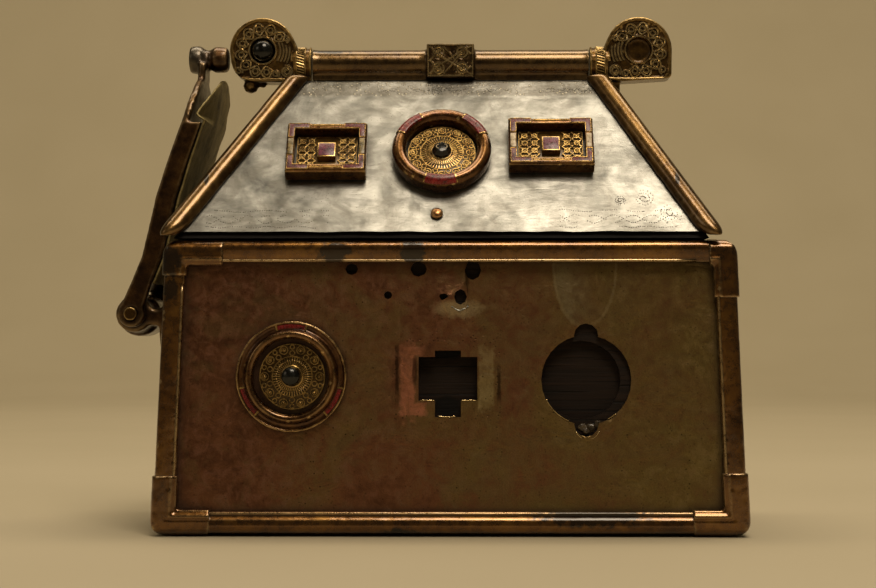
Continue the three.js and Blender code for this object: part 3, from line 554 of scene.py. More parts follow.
def silver_sheet():
    """Tinned sheet of the roof: yellowish silver with grey clouds and dark specks, painted shade in
    its corners and towards its left end
    """
    f = Finish("roof_silver")
    broad = f.noise(0.09, 4, 0.6, distortion=0.5)
    middle = f.noise(0.5, 4, 0.6, stretch=(0.45, 1, 1), distortion=0.6, shift=(4, 4, 0))
    grain = f.noise(4.0, 3, 0.65)
    tone = f.blend(broad, 0.75, middle, 0.25)
    # Painted shade: the tone darkens towards the left end of the sheet
    tone = f.plus(tone, f.span(f.axis("X"), -46, 2, -0.13, 0.0))
    f.tint = f.ramp(tone, [
        (0.3, "545451"), (0.43, "7b7b76"), (0.53, "9c9c97"), (0.62, "b0b0ab"), (0.72, "bebfbb"),
    ])
    speck = f.span(f.cells(1.7), 0.2, 0.05)
    speck = f.times(speck, f.span(middle, 0.48, 0.6))
    f.over("2a2218", speck, 0.75)
    slope = f.mapped(f.place, turn=(-ROOF_SLOPE, 0, 0))
    up = f.minus(f.axis("Y", slope), SLOPE_START)
    top = f.times(f.span(up, 32.6, 33.2), f.span(f.axis("Y"), 0.5, -0.5))
    top = f.times(top, f.span(f.noise(0.6, 4), 0.35, 0.5, 0.3, 0.8))
    dots = f.span(f.cells(1.5, slope, 0.8), 0.34, 0.2)
    f.over("4c4438", top, 0.55)
    f.over("d8cfb6", f.times(dots, top), 0.5)
    cloud = f.span(f.noise(0.13, 5, 0.7, distortion=1.2, shift=(0, 8, 3)), 0.47, 0.62)
    f.over("5f5b53", cloud, 0.4)
    # Painted shade in corners and under the mounts, from the occlusion term
    corner = f.span(f.shade(2.5), 0.8, 0.35)
    f.over("2b2419", corner, 0.7)
    rough = f.span(f.plus(middle, f.times(grain, 0.3)), 0.35, 0.85, 0.3, 0.4)
    f.bump(f.noise(0.13, 2, 0.5, distortion=0.4), 0.5, 0.5)
    f.bump(f.noise(1.1, 3, 0.5, stretch=(0.2, 1, 1), distortion=0.8), 0.06, 0.5)
    f.bump(f.times(dots, top), 0.12, 0.7)
    f.bump(grain, 0.04, 0.6)
    return f.finish(f.span(corner, 0.0, 1.0, 0.95, 0.6), rough)


def front_sheet():
    """Front plate: purple brown with olive clouds, ghosts of lost mounts, stippled lines and
    painted shade in its corners
    """
    f = Finish("box_front_sheet")

    def spot(x, z, wide, high, *edge):
        return f.patch((x, -23, z), (wide, 5, high), *edge)

    broad = f.noise(0.07, 4, 0.6, distortion=0.8)
    middle = f.noise(0.5, 5, 0.65, shift=(2, 0, 6), distortion=0.5)
    grain = f.noise(4.5, 3, 0.65)
    side = f.span(f.axis("X"), -40, 50, 0.0, 0.22)
    tone = f.blend(broad, 0.6, middle, 0.4)
    tone = f.plus(tone, side)
    f.tint = f.ramp(tone, [
        (0.3, "4a3023"), (0.42, "664431"), (0.52, "765039"), (0.62, "745a3b"), (0.74, "75633b"),
        (0.86, "88774b"),
    ])
    rose = f.times(f.span(middle, 0.5, 0.68), f.span(f.axis("X"), 20, -30, 0.2, 0.6))
    f.over("825c4c", rose)
    olive = f.span(f.noise(0.11, 4, 0.65, distortion=1.0, shift=(6, 2, 9)), 0.5, 0.62, 0.0, 0.35)
    f.over("736243", olive)
    fan = spot(24.4, 48.6, 5.9, 11.2, 0.04, 0.1)
    fan_inside = spot(24.4, 48.6, 5.6, 10.9, 0.03, 0.1)
    fan_tone = f.times(
        f.span(f.axis("X"), 26, 21, 0.0, 0.7), f.span(middle, 0.3, 0.6, 0.6, 1.0)
    )
    f.over("857a5c", fan, fan_tone)
    fan_rim = f.minus(fan, fan_inside, clamp=True)
    f.over("a2926c", fan_rim, 0.6)
    ghost = f.most([
        spot(-7.6, 27.8, 1.3, 6.1, 0.2, 1.0, True),
        spot(-6.6, 22.7, 2.2, 1.1, 0.2, 0.8, True),
        spot(-6.8, 33.2, 2.0, 0.8, 0.25, 1.0, True),
    ])
    patchy = f.times(
        f.span(middle, 0.36, 0.6, 0.45, 0.95), f.span(f.axis("Z"), 33, 22, 0.7, 1.0)
    )
    f.over("b97a60", ghost, patchy)
    ghost_edge = f.most([
        spot(-9.5, 29.2, 0.3, 4.4, 0.4, 1.6, True),
        spot(8.9, 27.3, 0.3, 2.8, 0.4, 1.6, True),
    ])
    f.over("1f140e", ghost_edge, 0.75)
    pale = spot(6.6, 28.4, 1.35, 5.2, 0.15, 0.9, True)
    f.over("a5956b", f.times(pale, patchy), 0.7)
    f.over("2a1812", spot(-6.3, 29.4, 0.45, 2.6, 0.3, 1.2), 0.7)
    bright = spot(1.6, 40.9, 4.0, 1.5, 0.35, 1.2)
    f.over("b3a480", bright, 0.6)
    frame_out = spot(-0.5, 28.2, 9.7, 7.3, 0.03, 0.05, True)
    frame_in = spot(-0.5, 28.2, 8.7, 6.3, 0.03, 0.05, True)
    band = f.minus(frame_out, frame_in, clamp=True)
    x, z = OPENING
    far = f.length(f.mapped(f.place, scale=(1, 0, 1), shift=(-x, 0, -z)))
    halo = f.times(f.span(far, 12.2, 9), f.span(middle, 0.3, 0.6))
    stipple = f.span(f.cells(1.45), 0.3, 0.14)
    lines = f.node(
        "TexWave", Vector=f.mapped(f.place, shift=(7, 0, -12)), Scale=0.085, Distortion=9, Detail=1
    )
    lines.wave_type = "RINGS"
    lines.rings_direction = "Y"
    chased = f.times(f.span(lines.outputs["Fac"], 0.82, 0.95), 0.6)
    crown = spot(2.6, 35.7, 6.2, 1.0, 0.5, 1.0, True)
    dotted = f.most([band, crown, f.times(halo, 0.5), f.times(chased, 0.8)])
    dots = f.times(stipple, dotted)
    f.over("1f140d", dots, 0.7)
    pit = f.times(f.span(f.cells(0.8), 0.15, 0.06), f.span(broad, 0.48, 0.6))
    f.over("17100b", pit, 0.8)
    # Painted shade in corners and along the strips, from the occlusion term
    corner = f.span(f.shade(3.0), 0.85, 0.4)
    f.over("23170f", corner, 0.75)
    f.over("3a281c", f.span(grain, 0.4, 0.75, 0.0, 0.3))
    scratch = f.noise(1.0, 2, 0.5, stretch=(3.0, 1, 0.12), distortion=0.5)
    f.bump(f.noise(0.16, 4, 0.6, distortion=0.8), 0.7, 0.5)
    f.bump(f.blend(dots, -0.9, pit, -0.5), 0.08, 0.5)
    f.bump(f.blend(grain, 0.5, scratch, 0.8), 0.06, 0.6)
    rough = f.span(f.plus(middle, f.times(grain, 0.3)), 0.35, 0.9, 0.3, 0.55)
    return f.finish(f.span(corner, 0.0, 1.0, 0.92, 0.5), rough)


def old_wood():
    """Dark yew with level grain, cracks and worn pores, with painted shadow in the notches of the
    cross opening and in the gap under the lid
    """
    f = Finish("dark_wood")
    grain = f.noise(0.5, 5, 0.6, stretch=(0.08, 1.4, 2.2), distortion=0.4)
    fibre = f.noise(3.0, 3, 0.6, stretch=(0.05, 1, 2.5))
    tone = f.blend(grain, 0.7, fibre, 0.3)
    f.tint = f.ramp(tone, [(0.3, "0a0604"), (0.48, "180f0a"), (0.62, "22160e"), (0.75, "2d1f14")])
    crack = f.span(f.noise(1.1, 2, 0.5, stretch=(0.03, 1, 1.6)), 0.4, 0.36)
    f.over("080504", crack, 0.8)
    # Painted shadow: near black on the wood seen through the notches of the cross opening
    notch_shadows = f.most([
        f.patch((-0.6, -18, 33.6), (3.6, 8, 1.9), 0.15, 0.5),
        f.patch((-0.6, -18, 23.2), (2.6, 8, 1.9), 0.15, 0.5),
    ])
    f.over("040302", notch_shadows, 0.9)
    # Painted shadow: near black on the wood in the gap under the lid
    rim = f.times(f.span(f.axis("Z"), 52.9, 53.4), f.span(f.axis("Z"), 56, 55))
    f.over("040302", rim, 0.85)
    f.bump(f.minus(tone, f.times(crack, 0.7)), 0.25, 0.8)
    rough = f.span(fibre, 0.3, 0.7, 0.6, 0.85)
    return f.finish(0.0, rough, Specular_IOR_Level=0.2)


def enamel(name, tones, chip):
    """Opaque enamel with a glassy skin, small chips and darker clouds"""
    f = Finish(name)
    cloud = f.noise(1.1, 4, 0.65)
    fine = f.noise(5.0, 3, 0.6)
    f.tint = f.ramp(cloud, list(zip((0.35, 0.5, 0.65), tones)))
    chipped = f.span(f.noise(1.6, 4, 0.7, shift=(5, 5, 2)), 0.6, 0.66)
    f.over(chip, chipped)
    f.bump(f.minus(f.times(fine, 0.5), chipped), 0.08, 0.7)
    return f.finish(0.0, f.span(fine, 0.3, 0.7, 0.18, 0.4))


def dark_glass():
    """Almost black glass of the studs, with faint swirls"""
    f = Finish("stud_glass")
    swirl = f.noise(0.9, 3, 0.5, distortion=1.5)
    f.tint = f.ramp(swirl, [(0.35, "060605"), (0.52, "0e0f0d"), (0.7, "1f211f")])
    f.bump(f.noise(2.5, 2), 0.02, 0.5)
    rough = f.span(swirl, 0.3, 0.7, 0.12, 0.24)
    return f.finish(0.0, rough, Specular_IOR_Level=0.3, Coat_Weight=0.25, Coat_Roughness=0.05)


def brown_sheet():
    """Thin olive-brown sheet inside the carrying arm, dull and stained"""
    f = Finish("arm_backing_sheet")
    cloud = f.noise(0.25, 4, 0.65, distortion=0.6)
    fine = f.noise(3.5, 4, 0.65)
    tone = f.blend(cloud, 0.7, fine, 0.3)
    f.tint = f.ramp(tone, [(0.32, "3d341f"), (0.48, "75683f"), (0.62, "938559"), (0.75, "a89a6e")])
    speck = f.span(f.cells(1.9), 0.22, 0.08)
    f.over("1d160d", f.times(speck, f.span(cloud, 0.45, 0.6, 0.2, 0.8)))
    f.bump(f.plus(cloud, f.times(fine, 0.4)), 0.3, 0.7)
    return f.finish(0.55, f.span(fine, 0.3, 0.7, 0.45, 0.7))


SILVER = silver_sheet()
FRONT = front_sheet()
WOOD = old_wood()
RED = enamel("red_enamel", ("3a080a", "6d1112", "8a2420"), "2e190e")
WINE = enamel("wine_enamel", ("2f0a12", "571823", "743139"), "3a2414")
PLUM = enamel("plum_enamel", ("3a1220", "5e1c38", "7a3850"), "6a5038")
PALE = enamel("pale_cell", ("8d7a5c", "b3a080", "cdbd9c"), "5b4630")
BRASS_CELL = enamel("brass_cell", ("4b3f20", "77663a", "9a8450"), "2c2212")
GLASS = dark_glass()
BACKING = brown_sheet()
SCRAPS = enamel("dry_scraps", ("1c160f", "3a3024", "5b4f3c"), "17110b")

# Camera, floor and light
camera_data = bpy.data.cameras.new("camera")
camera_data.lens = 72.5
camera_data.sensor_width = 36
camera_data.clip_start = 0.01
camera = placed("camera", camera_data)
camera.location = (2.8 * MM, -340.5 * MM, 34.5 * MM)
camera.rotation_euler = (math.radians(91.62), 0, math.radians(0.88))
bpy.context.scene.camera = camera
bpy.context.scene.view_settings.view_transform = "Standard"

sweep = bmesh.new()
sweep_places = ((-1.6, 0), (0.7, 0), (1.3, 0), (1.3, 0.6), (1.3, 2.4))
sweep_line = [sweep.verts.new((-2.5, y, z)) for y, z in sweep_places]
sweep_edges = [sweep.edges.new(pair) for pair in zip(sweep_line, sweep_line[1:])]
wide = bmesh.ops.extrude_edge_only(sweep, edges=sweep_edges)
bmesh.ops.translate(
    sweep, verts=[v for v in wide["geom"] if isinstance(v, bmesh.types.BMVert)], vec=(5, 0, 0)
)
corner_edges = [
    e for e in sweep.edges if all(abs(v.co.y - 1.3) < 1e-6 and abs(v.co.z) < 1e-6 for v in e.verts)
]
bmesh.ops.bevel(
    sweep, geom=corner_edges, offset=0.55, offset_type="OFFSET", segments=16, profile=0.5,
    affect="EDGES", material=-1,
)
bmesh.ops.recalc_face_normals(sweep, faces=sweep.faces)
floor_mesh = bpy.data.meshes.new("floor")
sweep.to_mesh(floor_mesh)
sweep.free()
floor_mesh.shade_smooth()
paper = Finish("pale_floor")
paper.tint = colour("aba189")
paper.over("a39980", paper.span(paper.noise(0.01, 2), 0.3, 0.7, 0.0, 0.5))
floor_mesh.materials.append(paper.finish(0.0, 0.85))
placed("floor", floor_mesh)

world = bpy.data.worlds.new("studio")
world.use_nodes = True
background = world.node_tree.nodes["Background"]
background.inputs["Color"].default_value = (1.0, 0.80, 0.50, 1)
background.inputs["Strength"].default_value = 0.075
bpy.context.scene.world = world


def soft_light(name, place, target, size, power, tint):
    data = bpy.data.lights.new(name, "AREA")
    data.shape = "RECTANGLE"
    data.size, data.size_y = size
    data.energy = power
    data.color = tint
    lamp = placed(name, data)
    lamp.location = place
    direction = Vector(target) - Vector(place)
    lamp.rotation_euler = direction.to_track_quat("-Z", "Y").to_euler()


soft_light("overhead", (0.09, -0.37, 0.62), (0, 0, 0.06), (0.26, 0.28), 2.7, (1.0, 0.85, 0.65))
soft_light("left_fill", (-0.7, -0.5, 0.45), (0, 0, 0.05), (0.3, 0.3), 0.35, (1.0, 0.82, 0.58))
soft_light("ceiling", (0.05, 0.14, 0.66), (0, 0, 0.05), (0.5, 0.24), 0.9, (1.0, 0.87, 0.7))
soft_light("back_wall", (0, 0.2, 1.3), (0, 1.3, 0.2), (1.6, 0.6), 16, (1.0, 0.83, 0.58))

# Wood keeps its solids
repaint(WOOD, "box_core", "lid_core")


# Edge strips and corner caps of the box
def crowned(bm, stand):
    """Lets the flat bands of the edge frame fall away towards its inner lip, most at the foot"""
    flange, lip = 1.5, 3.4
    crown, foot_fall = 0.2, 0.95
    half = Vector(EDGE) + Vector((stand, stand, stand))
    for vert in bm.verts:
        shares = (length_share(vert.co.z), depth_share(vert.co.z), 1)
        flat = Vector((vert.co.x / shares[0], vert.co.y / shares[1], vert.co.z - EDGE_MIDDLE))
        gaps = [half[i] - abs(flat[i]) for i in range(3)]
        for i in range(3):
            across = min(gaps[j] for j in range(3) if j != i)
            if flange < across < lip:
                near = max(0.0, 1 - gaps[i] / 1.4)
                sink = crown * min(1.0, (across - flange) / 1.6)
                if not stand and flat.z < 0 and across == gaps[2]:
                    sink = max(sink, foot_fall * (across - 2.4) / 1.3)
                flat[i] -= math.copysign(near * sink, flat[i])
        vert.co = Vector((flat.x * shares[0], flat.y * shares[1], flat.z + EDGE_MIDDLE))
    return bm


def lengthened(bm, extra):
    """Runs a strip on a little at both ends, so that it ends inside its caps"""
    spans = [[fold(v.co[i] for v in bm.verts) for fold in (min, max)] for i in range(3)]
    axis = max(range(3), key=lambda i: spans[i][1] - spans[i][0])
    low, high = spans[axis]
    for vert in bm.verts:
        if vert.co[axis] < low + 0.3:
            vert.co[axis] -= extra
        elif vert.co[axis] > high - 0.3:
            vert.co[axis] += extra
    return bm


def edge_piece(node, voxel, stand=0.0, depth=0.05):
    """A strip, or a cap standing a little proud of the strips, with soft and worn edges"""
    bm = node_copy(node)
    if not stand:
        lengthened(bm, 0.7)
    bm = crowned(smoothed(remeshed(bm, voxel), 3), stand)
    bm = worn(smoothed(bm, 1), depth, 4)
    if "top" in node:
        bmesh.ops.translate(bm, verts=bm.verts, vec=(0, 0, 0.1 if stand else 0.3))
    cast(node, bm, BRONZE)


for face, detail in (("front", 0.24), ("back", 0.36)):
    for level in ("bottom", "top"):
        edge_piece(f"strip_{face}_{level}", detail)
        for end in ("left", "right"):
            edge_piece(f"cap_{face}_{end}_{level}", detail, CAP_STAND, 0.07)
    for end in ("left", "right"):
        edge_piece(f"strip_{face}_{end}_upright", detail, 0.0, 0.06)
for end in ("left", "right"):
    for level in ("bottom", "top"):
        edge_piece(f"strip_{end}_{level}", 0.32)


def leaned(x, y, z):
    return Vector((x * length_share(z), y * depth_share(z), z))


def lip_beads():
    """A thin bead along the inner lip of the top and upright strips, on all four faces"""
    high = EDGE_MIDDLE + EDGE[2] - 3.45
    inner_x, inner_y = EDGE[0] - STRIP_WIDTH, EDGE[1] - STRIP_WIDTH
    runs = []
    for side in (-1, 1):
        x, y = side * (EDGE[0] - 0.45), side * (EDGE[1] - 0.45)
        ends = [((-46, y, high), (46, y, high)), ((x, -18, high), (x, 18, high))]
        for end in (-1, 1):
            ends.append(((end * inner_x, y, 9), (end * inner_x, y, 45)))
            ends.append(((x, end * inner_y, 9), (x, end * inner_y, 45)))
        for foot, head in ends:
            line = [leaned(*foot).lerp(leaned(*head), i / 24) for i in range(25)]
            for point in line:
                point += Vector((0.03, 0.03, 0.03)) * noise.noise(point / 3)
            runs.append((line, False))
    finished("lip_beads", wires(runs, 0.27, 2), BRONZE, angle=180)


lip_beads()


# Sheet metal
def gridded(node, turn, step, reach):
    """A sheet's solid cut into small squares in its own plane"""
    bm = moved(node_copy(node), turn)
    for axis, (low, high) in zip(((1, 0, 0), (0, 1, 0)), reach):
        for i in range(int((high - low) / step) + 1):
            at = Vector(axis) * (low + i * step)
            bmesh.ops.bisect_plane(
                bm, geom=bm.verts[:] + bm.edges[:] + bm.faces[:], plane_co=at, plane_no=axis,
                dist=0.001,
            )
    return bm


def widened(bm, x, z, wide, high):
    """Draws the sheet back from a nail hole, so that the hole gets wider and higher"""
    radius, reach = 0.65, 2.4
    for vert in bm.verts:
        away = Vector((vert.co.x - x, 0, vert.co.z - z))
        far = away.length
        if 0.1 < far < reach:
            share = (reach - far) / (reach - radius)
            vert.co.x += away.x / far * radius * (wide - 1) * share
            vert.co.z += away.z / far * radius * (high - 1) * share


# Nail holes: place, how many times as wide and as high
WIDER = ((-17.7, 48, 1.65, 1.5), (-5.6, 48, 2.2, 2.0), (4.2, 47.8, 2.2, 2.6), (1.9, 43, 1.6, 2.1))
# Torn spots: place, reach, how far the sheet is pushed out; the worst ones are ragged too
TORN = (
    (-1.2, 43, 2.0, 0.42), (1.9, 43, 2.2, 0.45), (-11.1, 43.3, 1.4, 0.15),
    (-17.7, 48, 1.8, 0.2), (4.2, 47.8, 2.0, 0.2), (-5.6, 48, 1.8, 0.15),
    (21.6, 37.4, 1.8, 0.25), (24.6, 17.6, 2.2, 0.22), (-4.8, 21.6, 1.4, 0.15),
)


def front_plate():
    """The front sheet, uneven, with edges bulged about its torn nail holes"""
    flat = Matrix.Rotation(-math.pi / 2, 4, "X")
    bm = gridded("front_plate", flat, 1.0, ((-51, 51), (-51, 1)))
    moved(bm, flat.inverted())
    for hole in WIDER:
        widened(bm, *hole)
    torn = [(Vector((x, 0, z)), reach, height) for x, z, reach, height in TORN]
    for vert in bm.verts:
        for centre, reach, height in torn:
            far = (Vector((vert.co.x, 0, vert.co.z)) - centre).length
            if height > 0.3 and far < 1.3:
                vert.co.x += 0.35 * noise.noise(vert.co * 1.3)
                vert.co.z += 0.35 * noise.noise(vert.co * 1.3 + Vector((4, 4, 4)))
        x, _, z = vert.co
        broad, fine = uneven(x, 0, z, size=16), uneven(x, 5, z, size=6)
        lift = 0.06 + (broad * 0.16 + fine * 0.05)
        for centre, reach, height in torn:
            far = (Vector((x, 0, z)) - centre).length / reach
            lift += height * max(0.0, 1 - far * far / 2) ** 2
        edge = min(1.0, (51 - abs(x)) / 4, (z - 2.4) / 4, (51 - z) / 4)
        vert.co.y -= max(-0.1, lift) * max(0.0, edge)
    finished("front_plate_sheet", bm, FRONT, nodes=["front_plate"], angle=30)


front_plate()


def notch_debris():
    """Dried scraps left in the lower notch of the round opening"""
    spots = [(24.6, -21.9, 18.9), (25.5, -21.8, 19.6), (23.9, -21.7, 19.5), (26.8, -21.6, 20.2)]
    bm = beads(spots, 0.8, 3)
    for vert in bm.verts:
        vert.co += 0.45 * noise.noise_vector(vert.co * 1.2)
        vert.co.y += 0.3
    finished("notch_debris", bm, SCRAPS, angle=180)


notch_debris()


def arc(x, z, radius, low, high):
    """Points along a part of a circle, its ends given in half turns"""
    angles = [math.pi * (low + (high - low) * i / 14) for i in range(15)]
    return [around(angle, radius, x, z) for angle in angles]


def opening_glints():
    """Bright wires as painted highlights along the edges of the two openings and their notches, and
    a torn lip in the hole above, silver as a painted glint
    """
    runs = []
    for low, high in ((-5.3, -2.7), (2.1, 4.9)):
        runs.append([(low + (high - low) * i / 9, 24.36) for i in range(10)])
    shares = [i / 12 for i in range(13)]
    runs.append([(-2.1 + 3.2 * share, 21.5 - 0.14 * math.sin(math.pi * share)) for share in shares])
    runs.append(arc(24.8, 19.6, 2.25, 1.12, 1.88))
    runs += [arc(*OPENING, 7.98, 1.14, 1.37), arc(*OPENING, 7.98, 1.66, 1.73)]
    glints = []
    for run in runs:
        line = []
        for x, z in run:
            shake = uneven(x * 2.2, 4, z)
            y = -PLATE_FACE * depth_share(z) - 0.12 + 0.07 * shake
            line.append((x, y, z + 0.1 * uneven(x * 3, 9, z)))
        glints.append((line, False))
    # Painted highlights: bright wires along the edges of the openings
    finished("opening_edge_glints", wires(glints, 0.09, 1), RELIEF, angle=180)
    lip = []
    for i in range(19):
        share = i / 18
        x = 0.3 + 3.1 * share
        z = 41.35 - 0.75 * math.sin(math.pi * share)
        shake = noise.noise_vector(Vector((x * 1.7, 6, z)))
        lip.append((x, -PLATE_FACE * depth_share(z) - 0.2 + 0.16 * shake.y, z + 0.25 * shake.z))
    # A torn lip, silver so that it shows as a painted glint
    finished("hole_lip_glint", wires([(lip, False)], 0.17, 2), SILVER, angle=180)


opening_glints()
repaint(FRONT, "back_plate", "left_end_plate", "right_end_plate", "base_plate")


def roof_plate(node, turn, reach, flutter):
    """A roof sheet, softly buckled, its lower edge wavy"""
    bm = gridded(node, turn.inverted(), 1.2, reach)
    for vert in bm.verts:
        x, up, _ = vert.co
        broad, fine = uneven(x, up, 0, size=9), uneven(x, up, 7, size=3.5)
        buckle = broad * 0.2 + fine * 0.05
        calm = min(1.0, (ROOF_REACH - up) / 5)
        vert.co.z += max(-0.1, buckle) * max(0.0, calm)
        if up < 0.6:
            vert.co.y += flutter * (0.5 + 0.5 * uneven(x / 5, 3, 1))
    moved(bm, turn)
    finished(f"{node}_sheet", bm, SILVER, nodes=[node], angle=30)


roof_plate("roof_front_plate", SLOPE, ((-50, 47), (0, 37)), 0.35)
roof_plate("roof_back_plate", BACK_SLOPE, ((-47, 50), (0, 37)), 0.35)
repaint(SILVER, "roof_left_plate", "roof_right_plate")


# Hip strips and ridge
def mean_at(bm, height):
    """The middle of a mesh's vertices near a height"""
    near = [vert.co for vert in bm.verts if abs(vert.co.z - height) < 0.6]
    return sum(near, Vector()) / len(near)


def hip_strip(node):
    """A hip strip whose foot is rounded off"""
    start, reach, least = 56.4, 2.9, 0.35
    bm = softened(node, 0.3, 7)
    low, high = mean_at(bm, 60), mean_at(bm, 78)
    for vert in bm.verts:
        below = (start - vert.co.z) / reach
        if below > 0:
            middle = low.lerp(high, (vert.co.z - low.z) / (high.z - low.z))
            share = math.sqrt(max(least, 1 - below * below))
            vert.co.x = middle.x + (vert.co.x - middle.x) * share
            vert.co.y = middle.y + (vert.co.y - middle.y) * share
    cast(node, worn(bm, 0.05, 6), HIP_BRONZE)


for face in ("front", "back"):
    for end in ("left", "right"):
        hip_strip(f"hip_strip_{face}_{end}")


def ridge_bar():
    """The ridge casting, its tube a true round that flares a little at its ends"""
    bm = softened("ridge_bar", 0.25, 3)
    for vert in bm.verts:
        x, y, z = vert.co
        far = math.hypot(y, z - RIDGE_Z)
        on_tube = abs(x) > 4.75 and 2.45 < far < 2.95
        if on_tube and (z > RIDGE_Z - 1.9 or abs(y) > 1.9):
            to_end = min(RIDGE_HALF - abs(x), abs(x) - BLOCK_HALF)
            flare = 0.16 * max(0.0, 1 - to_end / 1.6) ** 2
            share = (RIDGE_RADIUS + flare) / far
            vert.co.y = y * share
            vert.co.z = RIDGE_Z + (z - RIDGE_Z) * share
    cast("ridge_bar", worn(bm, 0.04, 5), RIDGE_BRONZE)


ridge_bar()


def roof_stipple():
    """Punched dots on the front roof sheet: scrolls along the foot and right end, a band on top"""
    spots = []
    for low, high in ((-44, -22), (20, 41)):
        for i in range(52):
            x = low + (high - low) * i / 51
            spots.append((x, 1.2 + 0.15 * math.sin(x * 1.1)))
            spots.append((x, 3.0 + 0.9 * math.sin(x * 0.9)))
            spots.append((x, 3.0 - 0.9 * math.sin(x * 0.9)))
            spots.append((x, 4.9 + 0.2 * math.sin(x * 0.7)))
    for x, y, radius, way in (
        (35.4, 7.8, 1.9, 1), (40.0, 4.4, 2.4, -1), (31.0, 7.3, 1.1, -1), (-2.6, 33.9, 1.2, 1),
    ):
        for i in range(40):
            share = i / 39
            angle = way * 4.6 * math.pi * share
            spots.append(around(angle, 0.25 + (radius - 0.25) * share, x, y))
    for i in range(260):
        x = -14 + 42 * ((i * 0.61803) % 1)
        spots.append((x, 34.1 + 1.5 * uneven(i * 1.7, 2, 5)))
    scrolls, band = [], []
    for x, y in spots:
        if uneven(x, y, 3, size=2.5) > -0.18:
            across = x + 0.2 * uneven(x * 3, y, 1)
            up = y + 0.2 * uneven(y * 3, x, 4)
            height = max(-0.1, uneven(x, y, 0, size=9) * 0.2) - 0.03
            (scrolls if up < 20 else band).append((across, up, height))
    finished("roof_scrolls", moved(beads(scrolls, 0.12), SLOPE), SCRAPS, angle=180)
    finished("roof_band", moved(beads(band, 0.11), SLOPE), SILVER, angle=180)


roof_stipple()


def spiral(x, y, height, start_radius, end_radius, turns, start=0.0, way=1):
    """An open run for wires"""
    steps = int(14 * turns)
    line = []
    for i in range(steps + 1):
        share = i / steps
        radius = start_radius + (end_radius - start_radius) * share
        angle = start + way * 2 * math.pi * turns * share
        line.append((*around(angle, radius, x, y), height))
    return line, False


def ridge_knots():
    """Border ropes and interlaced loops on the front of the ridge's block, a plain border behind"""
    front = Matrix.Translation((0, -4, BLOCK_Z)) @ UPRIGHT
    runs = []
    for x in (-2.25, 2.25):
        for y in (-1.55, 1.55):
            runs.append(circle(x, y, 0.12, 1.0, 14))
            runs.append(circle(x, y, 0.1, 0.42, 10))
    for way in (-1, 1):
        runs.append(([(-4.0, -2.7 * way, 0.05), (-2.25, -1.0 * way, 0.3), (0, 0.35 * way, 0.1),
                      (2.25, 1.9 * way, 0.3), (4.0, 2.7 * way, 0.05)], False))
        runs.append(([(-4.0, -0.2 * way, 0.05), (-2.9, 1.2 * way, 0.25), (-1.2, 2.5 * way, 0.1),
                      (0, 1.2 * way, 0.28), (1.2, -0.4 * way, 0.1), (2.7, -2.2 * way, 0.25),
                      (4.0, -1.2 * way, 0.05)], False))
    border = [(-4.25, -2.95, 0.12), (4.25, -2.95, 0.12), (4.25, 2.95, 0.12), (-4.25, 2.95, 0.12)]
    runs.append((border, True))
    back = Matrix.Rotation(math.pi, 4, "Z") @ front
    parts = [moved(wires(runs, 0.25), front), moved(wires([(border, True)], 0.25), back)]
    finished("ridge_block_knots", joined(parts), RELIEF)


def collar_ribs():
    """Turned ribs and slanting ticks round the collar of each finial"""
    parts = []
    for side in (-1, 1):
        along = Matrix.Translation((0, 0, RIDGE_Z)) @ Matrix.Rotation(side * math.pi / 2, 4, "Y")
        runs = [circle(0, 0, at, 3.18, 40) for at in (27.05, 28.0, 29.7)]
        for i in range(36):
            angle = 2 * math.pi * i / 36
            foot, head = around(angle, 3.12), around(angle + 0.14, 3.12)
            runs.append(([(*foot, 28.1), (*head, 29.6)], False))
        parts.append(moved(wires(runs, 0.17), along))
    finished("collar_ribs", joined(parts), CARVED_BRONZE)


ridge_knots()
collar_ribs()


# Finials
def finial_blank(side):
    """The finial's solid with its front carving smoothed away, as a ground for finer interlace"""
    node = "finial_right" if side > 0 else "finial_left"
    inner, outer, floor_line = 2.95, 5.5, -5.25
    bm = softened(node, 0.22, 1)
    for vert in bm.verts:
        x = side * (vert.co.x - side * FINIAL_X)
        z = vert.co.z - FINIAL_Z
        far = math.hypot(x, z)
        ring = inner < far < outer
        corner = -5.9 < x < 5.0 and -5.2 < z < -2.2 and far > inner
        if vert.co.y < -1.2 and (ring or corner) and z > floor_line:
            vert.co.y = -FINIAL_FLOOR
    cast(node, worn(smoothed(bm, 1), 0.04, 3), CARVED_BRONZE)


